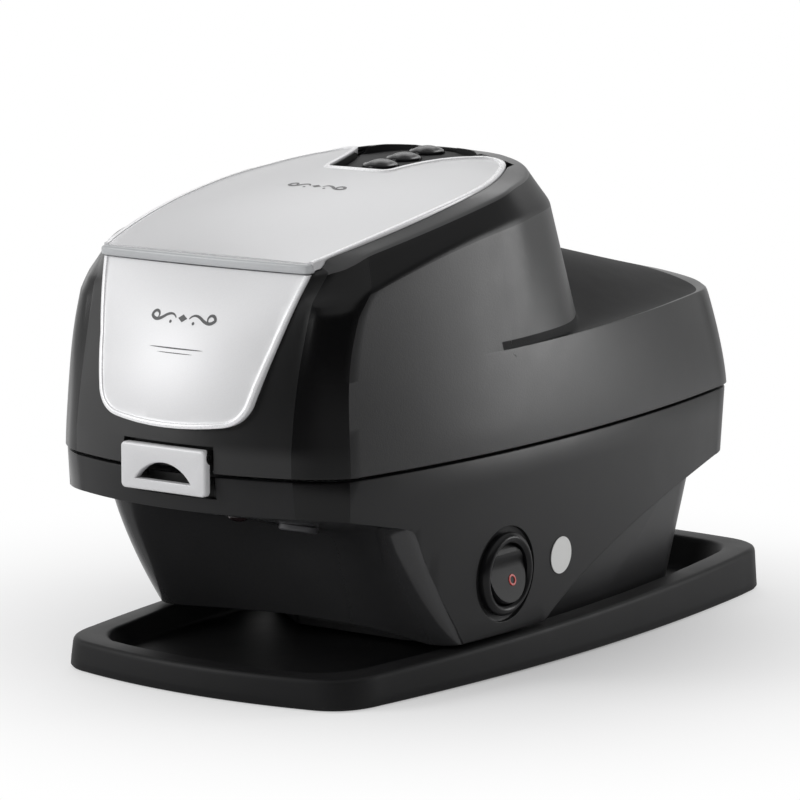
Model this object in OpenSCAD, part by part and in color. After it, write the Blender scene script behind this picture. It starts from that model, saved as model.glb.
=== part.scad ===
/* [Overall] */
// Length of the drip tray
tray_length = 220; // [210:1:225]
// Half of the drip tray's width at its middle
tray_half_width = 57.3; // [56:0.1:60]
// Height of the tray's rim at the front
tray_rim_front = 8.5; // [8:0.1:9]
// Height of the tray's rim at the back
tray_rim_back = 13; // [11:0.1:14]
// Height of the parting line between the lower housing and the cover
seam_z = 61.8; // [61:0.1:62.5]

/* [Walls] */
// Wall of the moulded housings
wall = 2.2; // [1.8:0.1:2.6]
// Gap that shows between two moulded parts
reveal = 0.3; // [0.25:0.05:0.4]

/* [Controls] */
// Travel of each push button
button_travel = 1.2; // [0.8:0.1:1.5]
// Spacing of the push buttons along the machine
button_pitch = 10.9; // [10.5:0.1:11.5]
// Outer radius of the rocker switch's bezel
bezel_radius = 11.5; // [11:0.1:12]
// Angle that the rocker leans to at rest
rocker_lean = 9; // [7:0.5:10]

/* [Latch] */
// Half of the latch plate's width
latch_half_width = 14.3; // [13.5:0.1:15]
// Height of the latch plate
latch_height = 12.4; // [11.5:0.1:13]

/* [Hidden] */
$fn = 48;

// ---------- general helpers ----------
function mix(a, b, t) = a + (b - a) * t;
function clamp(v, lo, hi) = min(max(v, lo), hi);
function bezier(a, b, c, t) = a * pow(1 - t, 2) + b * 2 * t * (1 - t) + c * t * t;
function mirror_x(p) = [-p[0], p[1], p[2]];

// A half outline runs from the front centre (station 0) to the rear centre (station last_station).
front_stations = 6;
band_stations = 8;
deck_station = 12;
side_stations = 20;
corner_stations = 28;
last_station = 32;
full_count = 2 * last_station;

// The whole ring, right half first and then the mirrored left half going back to the front.
function full_ring(half) =
    concat(half, [for (j = [last_station - 1 : -1 : 1]) mirror_x(half[j])]);

// ---------- the lines of the shell ----------
side_widest_y = -26;
front_face_x = 36;

// Height of the crest along the middle of the top, and how much lower its edges lie
function crest_z(y) = 130.2 + 0.22 * (y + 50) - 0.0015 * pow(y + 50, 2);
function crown_drop(y) = y < -20 ? 4 * (1 - pow((y + 20) / 76, 2)) : 4 - 0.05 * (y + 20);
// Half width of the light top panel
function lid_half_x(y) =
    y < -45
        ? 41.6 - 6.4 * pow((y + 45) / 51, 2)
        : 41.6 - 11.5 * pow((y + 45) / 45, 2.4);
function top_z(x, y) = crest_z(y) - crown_drop(y) * pow(x / lid_half_x(min(y, -2)), 2);

// Front face: its middle line and how far its sides curve back
function front_mid_y(z) = -112.5 + 0.0073 * pow(max(z - 68, 0), 2);
function front_bulge(z) = z < 95 ? 6.6 : 6.6 - 0.22 * (z - 95);
function front_y(x, z) = front_mid_y(z) + front_bulge(z) * pow(x / front_face_x, 2);

// One side of an outline: from the band's outer crease to the rear corner
function side_x(y, crease, widest, end) =
    y < side_widest_y
        ? widest - (widest - crease[0]) * pow((y - side_widest_y) / (crease[1] - side_widest_y), 2)
        : widest - (widest - end[0]) * pow((y - side_widest_y) / (end[1] - side_widest_y), 2);

// The smooth band round each front corner stands a little fuller than a flat one
band_swell = 0.9;
// Half outline in plan. band_in and band_out are the two creases of the front corner's band,
// side_end, corner and back give the rear corner's curve, and back_y is the rear centre.
function plan_half(z, band_in, band_out, widest, side_end, corner, back, back_y) = concat(
    [for (j = [0 : front_stations - 1])
        let(x = band_in[0] * j / front_stations) [x, front_y(x, z)]],
    [for (j = [front_stations : band_stations])
        let(t = (j - front_stations) / (band_stations - front_stations))
        mix(band_in, band_out, t) + 4 * t * (1 - t) * band_swell * [0.7, -0.7]],
    [for (j = [band_stations + 1 : deck_station])
        let(y = mix(band_out[1], deck_start_y, (j - band_stations) / (deck_station - band_stations)))
        [side_x(y, band_out, widest, side_end), y]],
    [for (j = [deck_station + 1 : side_stations])
        let(y = mix(deck_start_y, side_end[1], (j - deck_station) / (side_stations - deck_station)))
        [side_x(y, band_out, widest, side_end), y]],
    [for (j = [side_stations + 1 : corner_stations])
        bezier(side_end, corner, back, (j - side_stations) / (corner_stations - side_stations))],
    [for (j = [corner_stations + 1 : last_station])
        let(x = back[0] * (last_station - j) / (last_station - corner_stations))
        [x, back_y - (back_y - back[1]) * pow(x / back[0], 2)]]
);

// Plan outlines at the main heights
ridge_front_z = 88.5;
deck_start_y = -35;
seam_band = [48.6, -96.1];
seam_widest_x = 55.3;
seam_side_end = [43, 91];
function seam_side_x(y) = side_x(y, seam_band, seam_widest_x, seam_side_end);
seam_plan = plan_half(
    seam_z, [36.5, -105.8], seam_band, seam_widest_x, seam_side_end, [40.5, 108], [20, 108.7], 109.4);
ridge_band = [46.8, -95.6];
ridge_widest_x = 52.7;
ridge_side_end = [38.6, 86];
ridge_plan = plan_half(
    ridge_front_z, [36, -102.8], ridge_band, ridge_widest_x, ridge_side_end, [36.4, 103], [17, 103.8], 104.4);
head_foot_plan = plan_half(
    ridge_front_z, [36, -102.8], ridge_band, ridge_widest_x, [51.2, -4], [50.5, 23.5], [22, 24], 25.5);
shoulder_plan = plan_half(
    108, [37, -96.4], [47.2, -85], 50.2, [46.5, -10], [45.5, 13.5], [22, 14.5], 16);
brow_plan = plan_half(
    113.4, [39.2, -91], [42.5, -81], 46.2, [42.4, -14], [39.5, 9], [20, 10.5], 12);
lid_edge_plan = plan_half(
    117, [35.2, -94.6], [37.6, -83.5], 41.6, [38, -19], [34.5, 2.5], [20, 4.5], 6);

// Heights that vary along an outline
function ridge_z(y) = ridge_front_z + 0.016 * max(y + 35, 0);
function shoulder_z(y) =
    y < -85 ? mix(108, 110.8, (y + 101) / 16)
    : 118.5 + 0.2 * (y + 50) - 0.0015 * pow(y + 50, 2);
function brow_z(y) =
    y < -91 ? mix(113.4, 114.8, (y + 98) / 7)
    : y < -81 ? mix(114.8, 118.7, (y + 91) / 10)
    : 124.7 + 0.19 * (y + 50);
// The deck behind the head: level at its edges, with a soft spine that falls to the rear
function deck_half_x(y) = side_x(min(y, 86), ridge_band, ridge_widest_x, ridge_side_end);
function deck_z(x, y) =
    ridge_z(y) + (3 + 0.25 * max(105 - y, 0)) * pow(max(1 - pow(x / deck_half_x(y), 2), 0), 2);

function lifted(plan, z) = [for (p = plan) [p[0], p[1], z]];
function lerp_rings(a, b, t) = [for (j = [0 : last_station]) mix(a[j], b[j], t)];

seam_ring = lifted(seam_plan, seam_z);
ridge_ring = [for (j = [0 : last_station])
    let(p = ridge_plan[j]) [p[0], p[1], j > corner_stations - 4 ? deck_z(p[0], p[1]) : ridge_z(p[1])]];
foot_ring = [for (j = [0 : last_station])
    let(p = head_foot_plan[j]) [p[0], p[1], j <= deck_station ? ridge_z(p[1]) : deck_z(p[0], p[1])]];
shoulder_ring = [for (p = shoulder_plan) [p[0], p[1], min(shoulder_z(p[1]), 128)]];
brow_ring = [for (j = [0 : last_station])
    let(p = brow_plan[j])
    [p[0], p[1], p[1] > -14 ? min(brow_z(p[1]), top_z(p[0], p[1]) - 0.6) : brow_z(p[1])]];
lid_ring = [for (j = [0 : last_station])
    let(p = lid_edge_plan[j]) [p[0], p[1], top_z(p[0], p[1])]];

// Side walls swell a little between the seam and the ridge, and the head's front corner stands fuller
function wall_ring(t) =
    [for (j = [0 : last_station])
        let(a = seam_ring[j], b = ridge_ring[j], s = pow(t, 1.4), x = mix(a[0], b[0], s))
        let(z = mix(a[2], b[2], t))
        [x, j <= front_stations ? front_y(x, z) : mix(a[1], b[1], s), z]];
function head_ring(t) =
    [for (j = [0 : last_station])
        let(
            p = mix(foot_ring[j], shoulder_ring[j], t),
            swell = clamp(3 - 0.75 * max(j - band_stations, 0), 0, 3)
        )
        [p[0], j <= front_stations ? front_y(p[0], p[2]) : p[1] - swell * 4 * t * (1 - t), p[2]]];
function deck_ring(t) =
    [for (j = [0 : last_station])
        let(a = ridge_ring[j], b = foot_ring[j], p = mix(a, b, t))
        j <= deck_station ? a : [p[0], p[1], deck_z(p[0], p[1])]];

function spine_y(j) =
    mix(-62, -14, clamp((j - front_stations) / (corner_stations - 2 - front_stations), 0, 1));
function cap_ring(t) =
    [for (j = [0 : last_station])
        let(e = lid_ring[j], x = mix(e[0], 0, t), y = mix(e[1], spine_y(j), t))
        [x, y, top_z(x, y)]];

// Levels of the cover, from the seam to the crest
function cover_levels() = concat(
    [wall_ring(0.08), wall_ring(0.3), wall_ring(0.55), wall_ring(0.8), ridge_ring],
    [for (t = [0.2, 0.4, 0.6, 0.8]) deck_ring(t)],
    [foot_ring, head_ring(0.35), head_ring(0.7), shoulder_ring, brow_ring, lid_ring],
    [for (t = [0.3, 0.6, 0.85]) cap_ring(t)]
);
ridge_level = 4;
foot_level = 9;

// How each level moves inwards for the inner face: sideways share and downward share
cover_inset = [
    [1, 0], [1, 0], [1, 0], [1, 0], [1, 1], [0, 1], [0, 1], [0, 1], [0, 1], [1, 0.8],
    [1, 0.1], [1, 0.2], [0.9, 0.5], [0.7, 0.8], [0.3, 1], [0, 1], [0, 1], [0, 1]
];

function plan_normal(ring, j) =
    let(
        a = j == 0 ? mirror_x(ring[1]) : ring[j - 1],
        b = j == last_station ? mirror_x(ring[last_station - 1]) : ring[j + 1],
        d = [b[1] - a[1], a[0] - b[0]],
        n = norm(d)
    )
    n < 0.001 ? [0, 0] : d / n;
function inset_ring(ring, share, depth) =
    [for (j = [0 : last_station])
        let(n = plan_normal(ring, j), p = ring[j])
        [max(p[0] - n[0] * depth * share[0], 0), p[1] - n[1] * depth * share[0], p[2] - depth * share[1]]];

// ---------- closed shells from rings ----------
function ring_points(levels) = [for (l = levels) each full_ring(l)];
function distinct(f) = f[0] != f[1] && f[1] != f[2] && f[0] != f[2];
function quad(a, b, c, d, out) = out ? [[a, b, c], [a, c, d]] : [[a, c, b], [a, d, c]];
// Deck levels of the front stations share the ridge's points
function level_of(l, j) =
    let(s = j <= last_station ? j : full_count - j)
    s <= deck_station && l > ridge_level && l <= foot_level ? ridge_level : l;
function shared_id(l, j, first, shared) =
    let(k = (j + full_count) % full_count)
    first + (shared ? level_of(l, k) : l) * full_count + k;
function band_faces(count, first, shared, out) =
    [for (l = [0 : count - 2], j = [0 : full_count - 1],
        f = quad(
            shared_id(l, j, first, shared), shared_id(l, j + 1, first, shared),
            shared_id(l + 1, j + 1, first, shared), shared_id(l + 1, j, first, shared), out))
        if (distinct(f)) f];
// The last level closes onto a spine of points along the middle
spine_count = corner_stations - 1 - front_stations;
function spine_id(j, first) =
    let(s = j <= last_station ? j : full_count - j)
    first + clamp(s - front_stations, 0, spine_count - 1);
function spine_faces(ring_first, first, out) =
    [for (j = [0 : full_count - 1],
        f = quad(
            ring_first + j, ring_first + (j + 1) % full_count,
            spine_id((j + 1) % full_count, first), spine_id(j, first), out))
        if (distinct(f)) f];
function spine_points(drop) =
    [for (k = [0 : spine_count - 1])
        let(y = spine_y(k + front_stations)) [0, y, top_z(0, y) - drop]];

// Solid inside the cover's outer skin, moved in by depth, and cut off level at its lowest ring
module cover_solid(depth, floor_z) {
    levels = cover_levels();
    skin = [for (l = [0 : len(levels) - 1]) inset_ring(levels[l], cover_inset[l], depth)];
    lowest = lifted(inset_ring(seam_ring, [1, 0], depth), floor_z);
    rings = concat([lowest], skin);
    count = len(rings);
    points = concat(ring_points(rings), spine_points(depth));
    top_first = (count - 1) * full_count;
    spine_first = count * full_count;
    // the lowest ring joins the first level, and the rest share the deck's points
    faces = concat(
        [[for (j = [full_count - 1 : -1 : 0]) j]],
        band_faces(2, 0, false, true),
        band_faces(count - 1, full_count, true, true),
        spine_faces(top_first, spine_first, true)
    );
    polyhedron(points, [for (f = faces) [for (k = [len(f) - 1 : -1 : 0]) f[k]]], convexity = 8);
}

// A slab that follows the top, between two depths below it
slab_step = 9;
module top_slab(upper, lower, y_from = -104, y_to = 24, x_half = 48) {
    nx = ceil(2 * x_half / slab_step);
    ny = ceil((y_to - y_from) / slab_step);
    side = [for (d = [lower, upper], i = [0 : ny], k = [0 : nx])
        let(x = mix(-x_half, x_half, k / nx), y = mix(y_from, y_to, i / ny)) [x, y, top_z(x, y) - d]];
    grid_solid(side, nx, ny);
}
// A slab that follows the front face, between two depths behind it
module front_slab(outer, inner, z_from = 66, z_to = 120, x_half = 40) {
    nx = ceil(2 * x_half / slab_step);
    nz = ceil((z_to - z_from) / 6);
    side = [for (d = [outer, inner], i = [0 : nz], k = [0 : nx])
        let(x = mix(-x_half, x_half, k / nx), z = mix(z_from, z_to, i / nz)) [x, front_y(x, z) + d, z]];
    grid_solid(side, nx, nz, true);
}
module grid_solid(points, nx, ny, turned = false) {
    w = nx + 1;
    half = w * (ny + 1);
    function id(s, i, k) = s * half + i * w + k;
    sheet = [for (i = [0 : ny - 1], k = [0 : nx - 1]) each [
        [id(0, i, k), id(0, i, k + 1), id(0, i + 1, k + 1)],
        [id(0, i, k), id(0, i + 1, k + 1), id(0, i + 1, k)],
        [id(1, i, k), id(1, i + 1, k + 1), id(1, i, k + 1)],
        [id(1, i, k), id(1, i + 1, k), id(1, i + 1, k + 1)]]];
    rim = concat(
        [for (k = [0 : nx - 1]) each [
            [id(0, 0, k), id(1, 0, k), id(1, 0, k + 1)],
            [id(0, 0, k), id(1, 0, k + 1), id(0, 0, k + 1)],
            [id(0, ny, k), id(1, ny, k + 1), id(1, ny, k)],
            [id(0, ny, k), id(0, ny, k + 1), id(1, ny, k + 1)]]],
        [for (i = [0 : ny - 1]) each [
            [id(0, i, 0), id(1, i + 1, 0), id(1, i, 0)],
            [id(0, i, 0), id(0, i + 1, 0), id(1, i + 1, 0)],
            [id(0, i, nx), id(1, i, nx), id(1, i + 1, nx)],
            [id(0, i, nx), id(1, i + 1, nx), id(0, i + 1, nx)]]]
    );
    polyhedron(points, [for (f = concat(sheet, rim)) turned ? [f[0], f[2], f[1]] : f], convexity = 6);
}

// ---------- outlines of the fitted panels ----------
notch_y = -29;
lid_front_y = -94.6;
lip_half_x = 35.2;
lid_thickness = 2;
panel_drop = 2;
function mirrored(points) = concat(
    points, [for (k = [len(points) - 1 : -1 : 0]) if (points[k][0] > 0.01) [-points[k][0], points[k][1]]]);

// Light top lid: a straight front edge, long prongs beside the control panel, round tips
function lid_points() = mirrored(concat(
    [[0, lid_front_y]],
    [for (y = [lid_front_y : 8 : -4]) [lid_half_x(y), y]],
    [for (t = [0 : 0.2 : 1]) bezier([32, -3.5], [29, 3.5], [22.5, 1], t)],
    [for (t = [0.25 : 0.25 : 1]) bezier([20.6, -1.5], [13.5, -12], [10.2, notch_y + 1.5], t)],
    [[8.6, notch_y], [0, notch_y - 0.4]]
));
module lid_area(grow) { offset(delta = grow) polygon(lid_points()); }

// Dark panel that carries the buttons
function control_points() = mirrored(concat(
    [[0, notch_y], [8.2, notch_y + 0.4]],
    [for (t = [0 : 0.25 : 1]) bezier([9.8, notch_y + 1.8], [13, -12], [20, -1.2], t)],
    [for (t = [0.25 : 0.25 : 1]) bezier([20, -1.2], [17, 9], [0, 9.5], t)]
));
module control_area(grow) { offset(delta = grow) polygon(control_points()); }

// Light front fascia, drawn as width against height
fascia_bottom = 73.2;
fascia_top = 114.2;
function fascia_half_x(z) = 24.3 + 0.27 * (z - 76);
function fascia_points() = mirrored(concat(
    [[0, fascia_top], [fascia_half_x(fascia_top), fascia_top], [fascia_half_x(95), 95]],
    [for (t = [0 : 0.25 : 1]) bezier([fascia_half_x(80), 80], [23.6, 75.6], [18.5, 74.6], t)],
    [[10, 73.6], [0, fascia_bottom]]
));
module fascia_area(grow) { offset(delta = grow) polygon(fascia_points()); }
module facing_front(from, to) {
    rotate([90, 0, 0]) translate([0, 0, from]) linear_extrude(to - from) children();
}

// Soap tank's mouth in plan
tank_half_x = 30;
tank_front_y = -85;
tank_back_y = -35;
module tank_area(grow, r = 6) {
    hull()
        for (x = [-1, 1], y = [tank_front_y + r, tank_back_y - r])
            translate([x * (tank_half_x - r), y]) circle(r = r + grow, $fn = 32);
}

// ---------- upper cover and what rides on it ----------
cover_z = seam_z + 0.4;
latch_z = 62.2;
latch_gap = 0.8;
module stiffening_rib(a, b, r = 1) {
    hull() {
        translate(a) sphere(r, $fn = 8);
        translate(b) sphere(r, $fn = 8);
    }
}
module latch_recess(depth_y) {
    translate([-latch_half_width - latch_gap, -125, latch_z - latch_height / 2 - latch_gap])
        cube([2 * (latch_half_width + latch_gap), 125 + depth_y, latch_height + 2 * latch_gap]);
}
module both_sides() {
    children();
    mirror([1, 0, 0]) children();
}
lid_hinge_y = 0;
lid_hinge_z = 132.3;
lid_block_top = 133.9;
lid_block_x = 23.6;
lid_block_w = 3.8;
bracket_top = 128.4;
module on_lid_axis(x, r, w) {
    both_sides() translate([x, lid_hinge_y, lid_hinge_z]) rotate([0, 90, 0]) cylinder(r = r, h = w);
}
module swung_tips(turn) {
    translate([0, lid_hinge_y, lid_hinge_z]) rotate([-turn, 0, 0])
        translate([0, -lid_hinge_y, -lid_hinge_z]) intersection() {
            linear_extrude(160) intersection() {
                lid_area(reveal);
                translate([-40, -9]) square([80, 14]);
            }
            top_slab(-0.8, lid_thickness + reveal, -12, 8);
        }
}
module upper_cover() {
    color([0.07, 0.07, 0.075]) difference() {
        union() {
            difference() {
                cover_solid(0, cover_z);
                cover_solid(wall, seam_z - 8);
            }
            // ledge under the lid and the control panel
            intersection() {
                linear_extrude(160) difference() {
                    union() {
                        lid_area(2.5);
                        control_area(1);
                    }
                    translate([-60, -120]) square([120, 1]);
                }
                top_slab(wall - 0.6, 5.6);
            }
            // floor of the latch's recess
            translate([-18, -110, cover_z]) cube([36, 2.4, 9]);
            // posts for the button board, and flats for the lid's hinge brackets
            for (x = [-10.5, 10.5], y = [-16, 14])
                at_button(0) translate([x, y, board_top]) cylinder(r = 2, h = 9.8);
            both_sides() translate([20, -9, bracket_top]) cube([11, 5.5, 2.8]);
            for (x = [-1, 1], y = [-60, -30, 60, 85])
                stiffening_rib([x * (seam_side_x(y) - 2.6), y, 66],
                               [x * (deck_half_x(y) - 2.6), y, 84], 1.2);
        }
        // pocket for the lid, and the mouth under it
        intersection() {
            linear_extrude(160) lid_area(reveal);
            top_slab(-14, lid_thickness + reveal);
        }
        intersection() {
            linear_extrude(160) intersection() {
                lid_area(-3.5);
                translate([-50, -120]) square([100, 120 + notch_y - 3.5]);
            }
            translate([-60, -120, 100]) cube([120, 140, 60]);
        }
        // room for the lip
        translate([-lip_half_x - 0.4, -110, 114.3]) cube([2 * lip_half_x + 0.8, 16, 10]);
        // pocket for the control panel, and the window for the buttons' stems
        intersection() {
            linear_extrude(160) control_area(0.1);
            top_slab(-14, 3.9);
        }
        translate([-7, -24.5, 110]) cube([14, 34.5, 60]);
        // pocket for the fascia
        intersection() {
            facing_front(60, 125) fascia_area(0.15);
            front_slab(-6, 1.25);
        }
        // room for the lid's hinge, and for the tips as they swing
        both_sides() translate([21.2, -2, 129]) cube([8.6, 4.4, 5]);
        for (turn = [7 : 7 : 70]) swung_tips(turn);
        latch_recess(-108.6);
        // flat seat for the hinge leaf
        translate([-21, 107.6, cover_z - 1]) cube([42, 8, 10.4]);
    }
}
module front_fascia() {
    color([0.86, 0.87, 0.88]) union() {
        intersection() {
            facing_front(60, 125) fascia_area(0);
            front_slab(-0.5, 1.2);
        }
        // raised rim round the panel
        intersection() {
            facing_front(60, 125) difference() {
                fascia_area(-0.05);
                fascia_area(-1.3);
            }
            front_slab(-1.1, 0.4);
        }
        for (z = [84, 92, 100, 108], x = [-1, 1])
            stiffening_rib([x * 12, front_y(12, z) + 0.4, z], [x * 14, front_y(14, z) + 0.4, z], 0.4);
    }
}
module top_lid() {
    color([0.86, 0.87, 0.88]) difference() {
        lid_body();
        // seats for the hinge blocks, and room for the brackets' ears
        both_sides() translate([lid_block_x, -1.6, lid_block_top - 5]) cube([lid_block_w, 2.8, 5]);
        on_lid_axis(lid_block_x - 2.4, 1.6, 2.4);
        on_lid_axis(lid_block_x + lid_block_w, 1.6, 2.4);
    }
}
module lid_body() {
    union() {
        intersection() {
            linear_extrude(160) lid_area(0);
            top_slab(0, lid_thickness);
        }
        intersection() {
            linear_extrude(160) difference() {
                lid_area(-0.05);
                lid_area(-1.5);
                translate([-60, -120]) square([120, 27]);
            }
            top_slab(-0.5, 0.5);
        }
        // bars that lie inside the tank's seal
        for (y = [-76, -68, -60, -52, -44], x = [-1, 1])
            stiffening_rib([x * 4, y, top_z(4, y) - 2.6], [x * 22, y, top_z(22, y) - 2.6], 0.9);
    }
}
lip_front_y = -98.4;
lip_curve = 430;
module lid_lip() {
    color([0.8, 0.81, 0.82]) translate([0, 0, 114.6]) linear_extrude(2.5) intersection() {
        translate([0, lip_front_y + lip_curve]) circle(r = lip_curve, $fn = 720);
        translate([-lip_half_x, lip_front_y - 1]) square([2 * lip_half_x, lid_front_y + 1 - lip_front_y]);
    }
}
// Blocks under the lid's tips turn on pins that two brackets hold inside the cover
module lid_hinge_blocks() {
    color([0.3, 0.3, 0.31]) difference() {
        union() {
            on_lid_axis(lid_block_x, 1.4, lid_block_w);
            both_sides() translate([lid_block_x, -1.4, lid_hinge_z])
                cube([lid_block_w, 2.6, lid_block_top - lid_hinge_z]);
        }
        on_lid_axis(lid_block_x - 1, 0.85, lid_block_w + 2);
    }
}
module lid_pins() { color([0.7, 0.7, 0.72]) on_lid_axis(lid_block_x - 2, 0.8, lid_block_w + 4); }
module lid_hinge_brackets() {
    color([0.3, 0.3, 0.31]) difference() {
        union() {
            both_sides() translate([20, -9, bracket_top - 1.4]) cube([11, 10.5, 1.4]);
            for (x = [lid_block_x - 2, lid_block_x + lid_block_w + 0.2]) {
                on_lid_axis(x, 1.3, 1.8);
                both_sides() translate([x, -1.3, bracket_top]) cube([1.8, 2.6, lid_hinge_z - bracket_top]);
            }
        }
        on_lid_axis(lid_block_x - 3, 0.82, lid_block_w + 6);
    }
}
module lid_seal() {
    color([0.25, 0.25, 0.26]) union() {
        intersection() {
            linear_extrude(160) difference() {
                tank_area(0.4);
                tank_area(-3);
            }
            top_slab(lid_thickness, 5);
        }
        for (k = [0 : 7])
            let(y = mix(-74, -46, k / 7), z = top_z(29, y) - 3.6)
                stiffening_rib([29, y, z], [29.3, y, z], 0.5);
    }
}
module control_panel() {
    color([0.09, 0.09, 0.1]) difference() {
        union() {
            intersection() {
                linear_extrude(160) control_area(-0.1);
                top_slab(panel_drop, 3.85);
            }
            for (x = [-7.4, 7.4], y = [-24 : 7 : -3])
                stiffening_rib([x, y, top_z(x, y) - 2.9], [x, y + 2, top_z(x, y + 2) - 2.9], 0.6);
        }
        for (k = [-1 : 1]) at_button(k) translate([0, 0, -8]) button_shape(0.25, 20);
    }
}

// ---------- push buttons ----------
button_y = -7;
button_tilt = 5.2;
module at_button(k) {
    translate([0, button_y, top_z(0, button_y) - panel_drop])
        rotate([button_tilt, 0, 0]) translate([0, k * button_pitch, 0]) children();
}
// An eye-shaped outline, from two circles
eye_radius = 5.76;
eye_shift = 1.36;
module button_shape(grow, h) {
    linear_extrude(h) intersection() {
        translate([0, eye_shift]) circle(r = eye_radius + grow, $fn = 64);
        translate([0, -eye_shift]) circle(r = eye_radius + grow, $fn = 64);
    }
}
stem_bottom = -8.4;
board_top = -13;
module push_button(k) {
    color([0.05, 0.05, 0.055]) at_button(k) {
        intersection() {
            translate([0, 0, -1.2]) button_shape(0, 4);
            translate([0, 0, 1.9 - 13]) sphere(13, $fn = 64);
        }
        translate([0, 0, stem_bottom]) cylinder(r = 1.8, h = 8.2 - 0.9);
    }
}
module button_front() { push_button(-1); }
module button_middle() { push_button(0); }
module button_rear() { push_button(1); }
module button_board() {
    color([0.1, 0.35, 0.2]) at_button(0) {
        translate([-13, -19, board_top - 1.6]) cube([26, 36, 1.6]);
        for (k = [-1 : 1]) translate([-3, k * button_pitch - 3, board_top]) cube([6, 6, 3.3]);
    }
}

// ---------- front latch ----------
latch_front_y = -114;
latch_pin_y = -111.2;
latch_pin_z = 66.4;
module rounded_slab(w, h, t, r) {
    linear_extrude(t) union() {
        square([w - 2 * r, h], center = true);
        square([w, h - 2 * r], center = true);
        for (x = [-1, 1], y = [-1, 1])
            translate([x * (w / 2 - r), y * (h / 2 - r)]) circle(r = r, $fn = 32);
    }
}
module on_latch_axis(x, r, w) {
    translate([x, latch_pin_y, latch_pin_z]) rotate([0, 90, 0]) cylinder(r = r, h = w);
}
module latch_plate() {
    color([0.84, 0.85, 0.86]) difference() {
        union() {
            translate([0, latch_front_y + 2.2, latch_z]) rotate([90, 0, 0])
                rounded_slab(2 * latch_half_width, latch_height, 2.2, 1.2);
            // knuckles round the pin
            for (x = [-10.5, 5.5]) on_latch_axis(x, 1.7, 5);
            // tongue and catch
            for (x = [-12, 9]) {
                translate([x, latch_front_y + 2, 57]) cube([3, 1.9, 1.6]);
                translate([x, latch_front_y + 3, 56.6]) cube([3, 0.9, 2]);
            }
        }
        on_latch_axis(-20, 0.95, 40);
        // room for the bracket's lugs
        for (x = [-15, -1.9, 11.2]) on_latch_axis(x, 2, 3.8);
        // half-moon finger hole
        intersection() {
            translate([0, latch_front_y - 1, 52.6]) rotate([-90, 0, 0]) cylinder(r = 11.3, h = 5, $fn = 96);
            translate([-11, latch_front_y - 1, 58.9]) cube([22, 5, 8]);
        }
    }
}
module latch_pin() {
    color([0.7, 0.7, 0.72]) on_latch_axis(-13.4, 0.9, 26.8);
}
module latch_bracket() {
    color([0.07, 0.07, 0.075]) difference() {
        for (x = [-13.6, 11.6, -1.5]) latch_lug(x, x == -1.5 ? 3 : 2);
        on_latch_axis(-20, 0.95, 40);
    }
}
module latch_lug(x, w) {
    on_latch_axis(x, 1.6, w);
    translate([x, latch_pin_y, latch_pin_z - 1.6]) cube([w, -108.6 - latch_pin_y, 3.2]);
}

// ---------- rear hinge ----------
hinge_y = 111.7;
hinge_z = 62;
module along_x(x, r, w) { translate([x, hinge_y, hinge_z]) rotate([0, 90, 0]) cylinder(r = r, h = w); }
module rear_hinge_lower() {
    color([0.3, 0.3, 0.31]) difference() {
        union() {
            for (x = [-20, 12]) {
                along_x(x, 2, 8);
                translate([x, 108, hinge_z - 2]) cube([8, hinge_y - 108, 1.4]);
            }
            translate([-20, 108, 52]) cube([40, 1.4, 8.6]);
        }
        along_x(-25, 1.03, 50);
    }
}
module rear_hinge_upper() {
    color([0.3, 0.3, 0.31]) difference() {
        union() {
            along_x(-11.6, 2, 23.2);
            translate([-11.6, 107.6, hinge_z + 0.6]) cube([23.2, hinge_y - 107.6, 1.4]);
            translate([-20, 107.6, hinge_z + 0.6]) cube([40, 1.4, 8.6]);
        }
        along_x(-25, 1.03, 50);
    }
}
module rear_hinge_pin() { color([0.7, 0.7, 0.72]) along_x(-20, 1, 40); }

// ---------- lower housing ----------
housing_top = 61.2;
housing_bottom = 10.8;
side_lean = 0.03;
end_lean = 0.13;
function housing_ring(z, depth) =
    [for (j = [0 : last_station])
        let(n = plan_normal(seam_ring, j), p = seam_ring[j], d = depth + 0.5, h = housing_top - z)
        [max(p[0] - n[0] * (d + side_lean * h), 0), p[1] - n[1] * (d + end_lean * h), z]];
module housing_solid(depth, top, bottom) {
    levels = [for (t = [0, 0.33, 0.66, 1]) housing_ring(mix(bottom, top, t), depth)];
    points = ring_points(levels);
    last_first = 3 * full_count;
    faces = concat(
        [[for (j = [full_count - 1 : -1 : 0]) j]], band_faces(4, 0, false, true),
        [[for (j = [0 : full_count - 1]) last_first + j]]
    );
    polyhedron(points, [for (f = faces) [for (k = [len(f) - 1 : -1 : 0]) f[k]]], convexity = 6);
}
// The hand space: a ceiling that slopes down to the back, and a hollow wall below it
ceiling_slope = 0.234;
function ceiling_z(x, y) = 51 - ceiling_slope * (y + 110) + 3 * pow(x / 50, 2);
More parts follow.
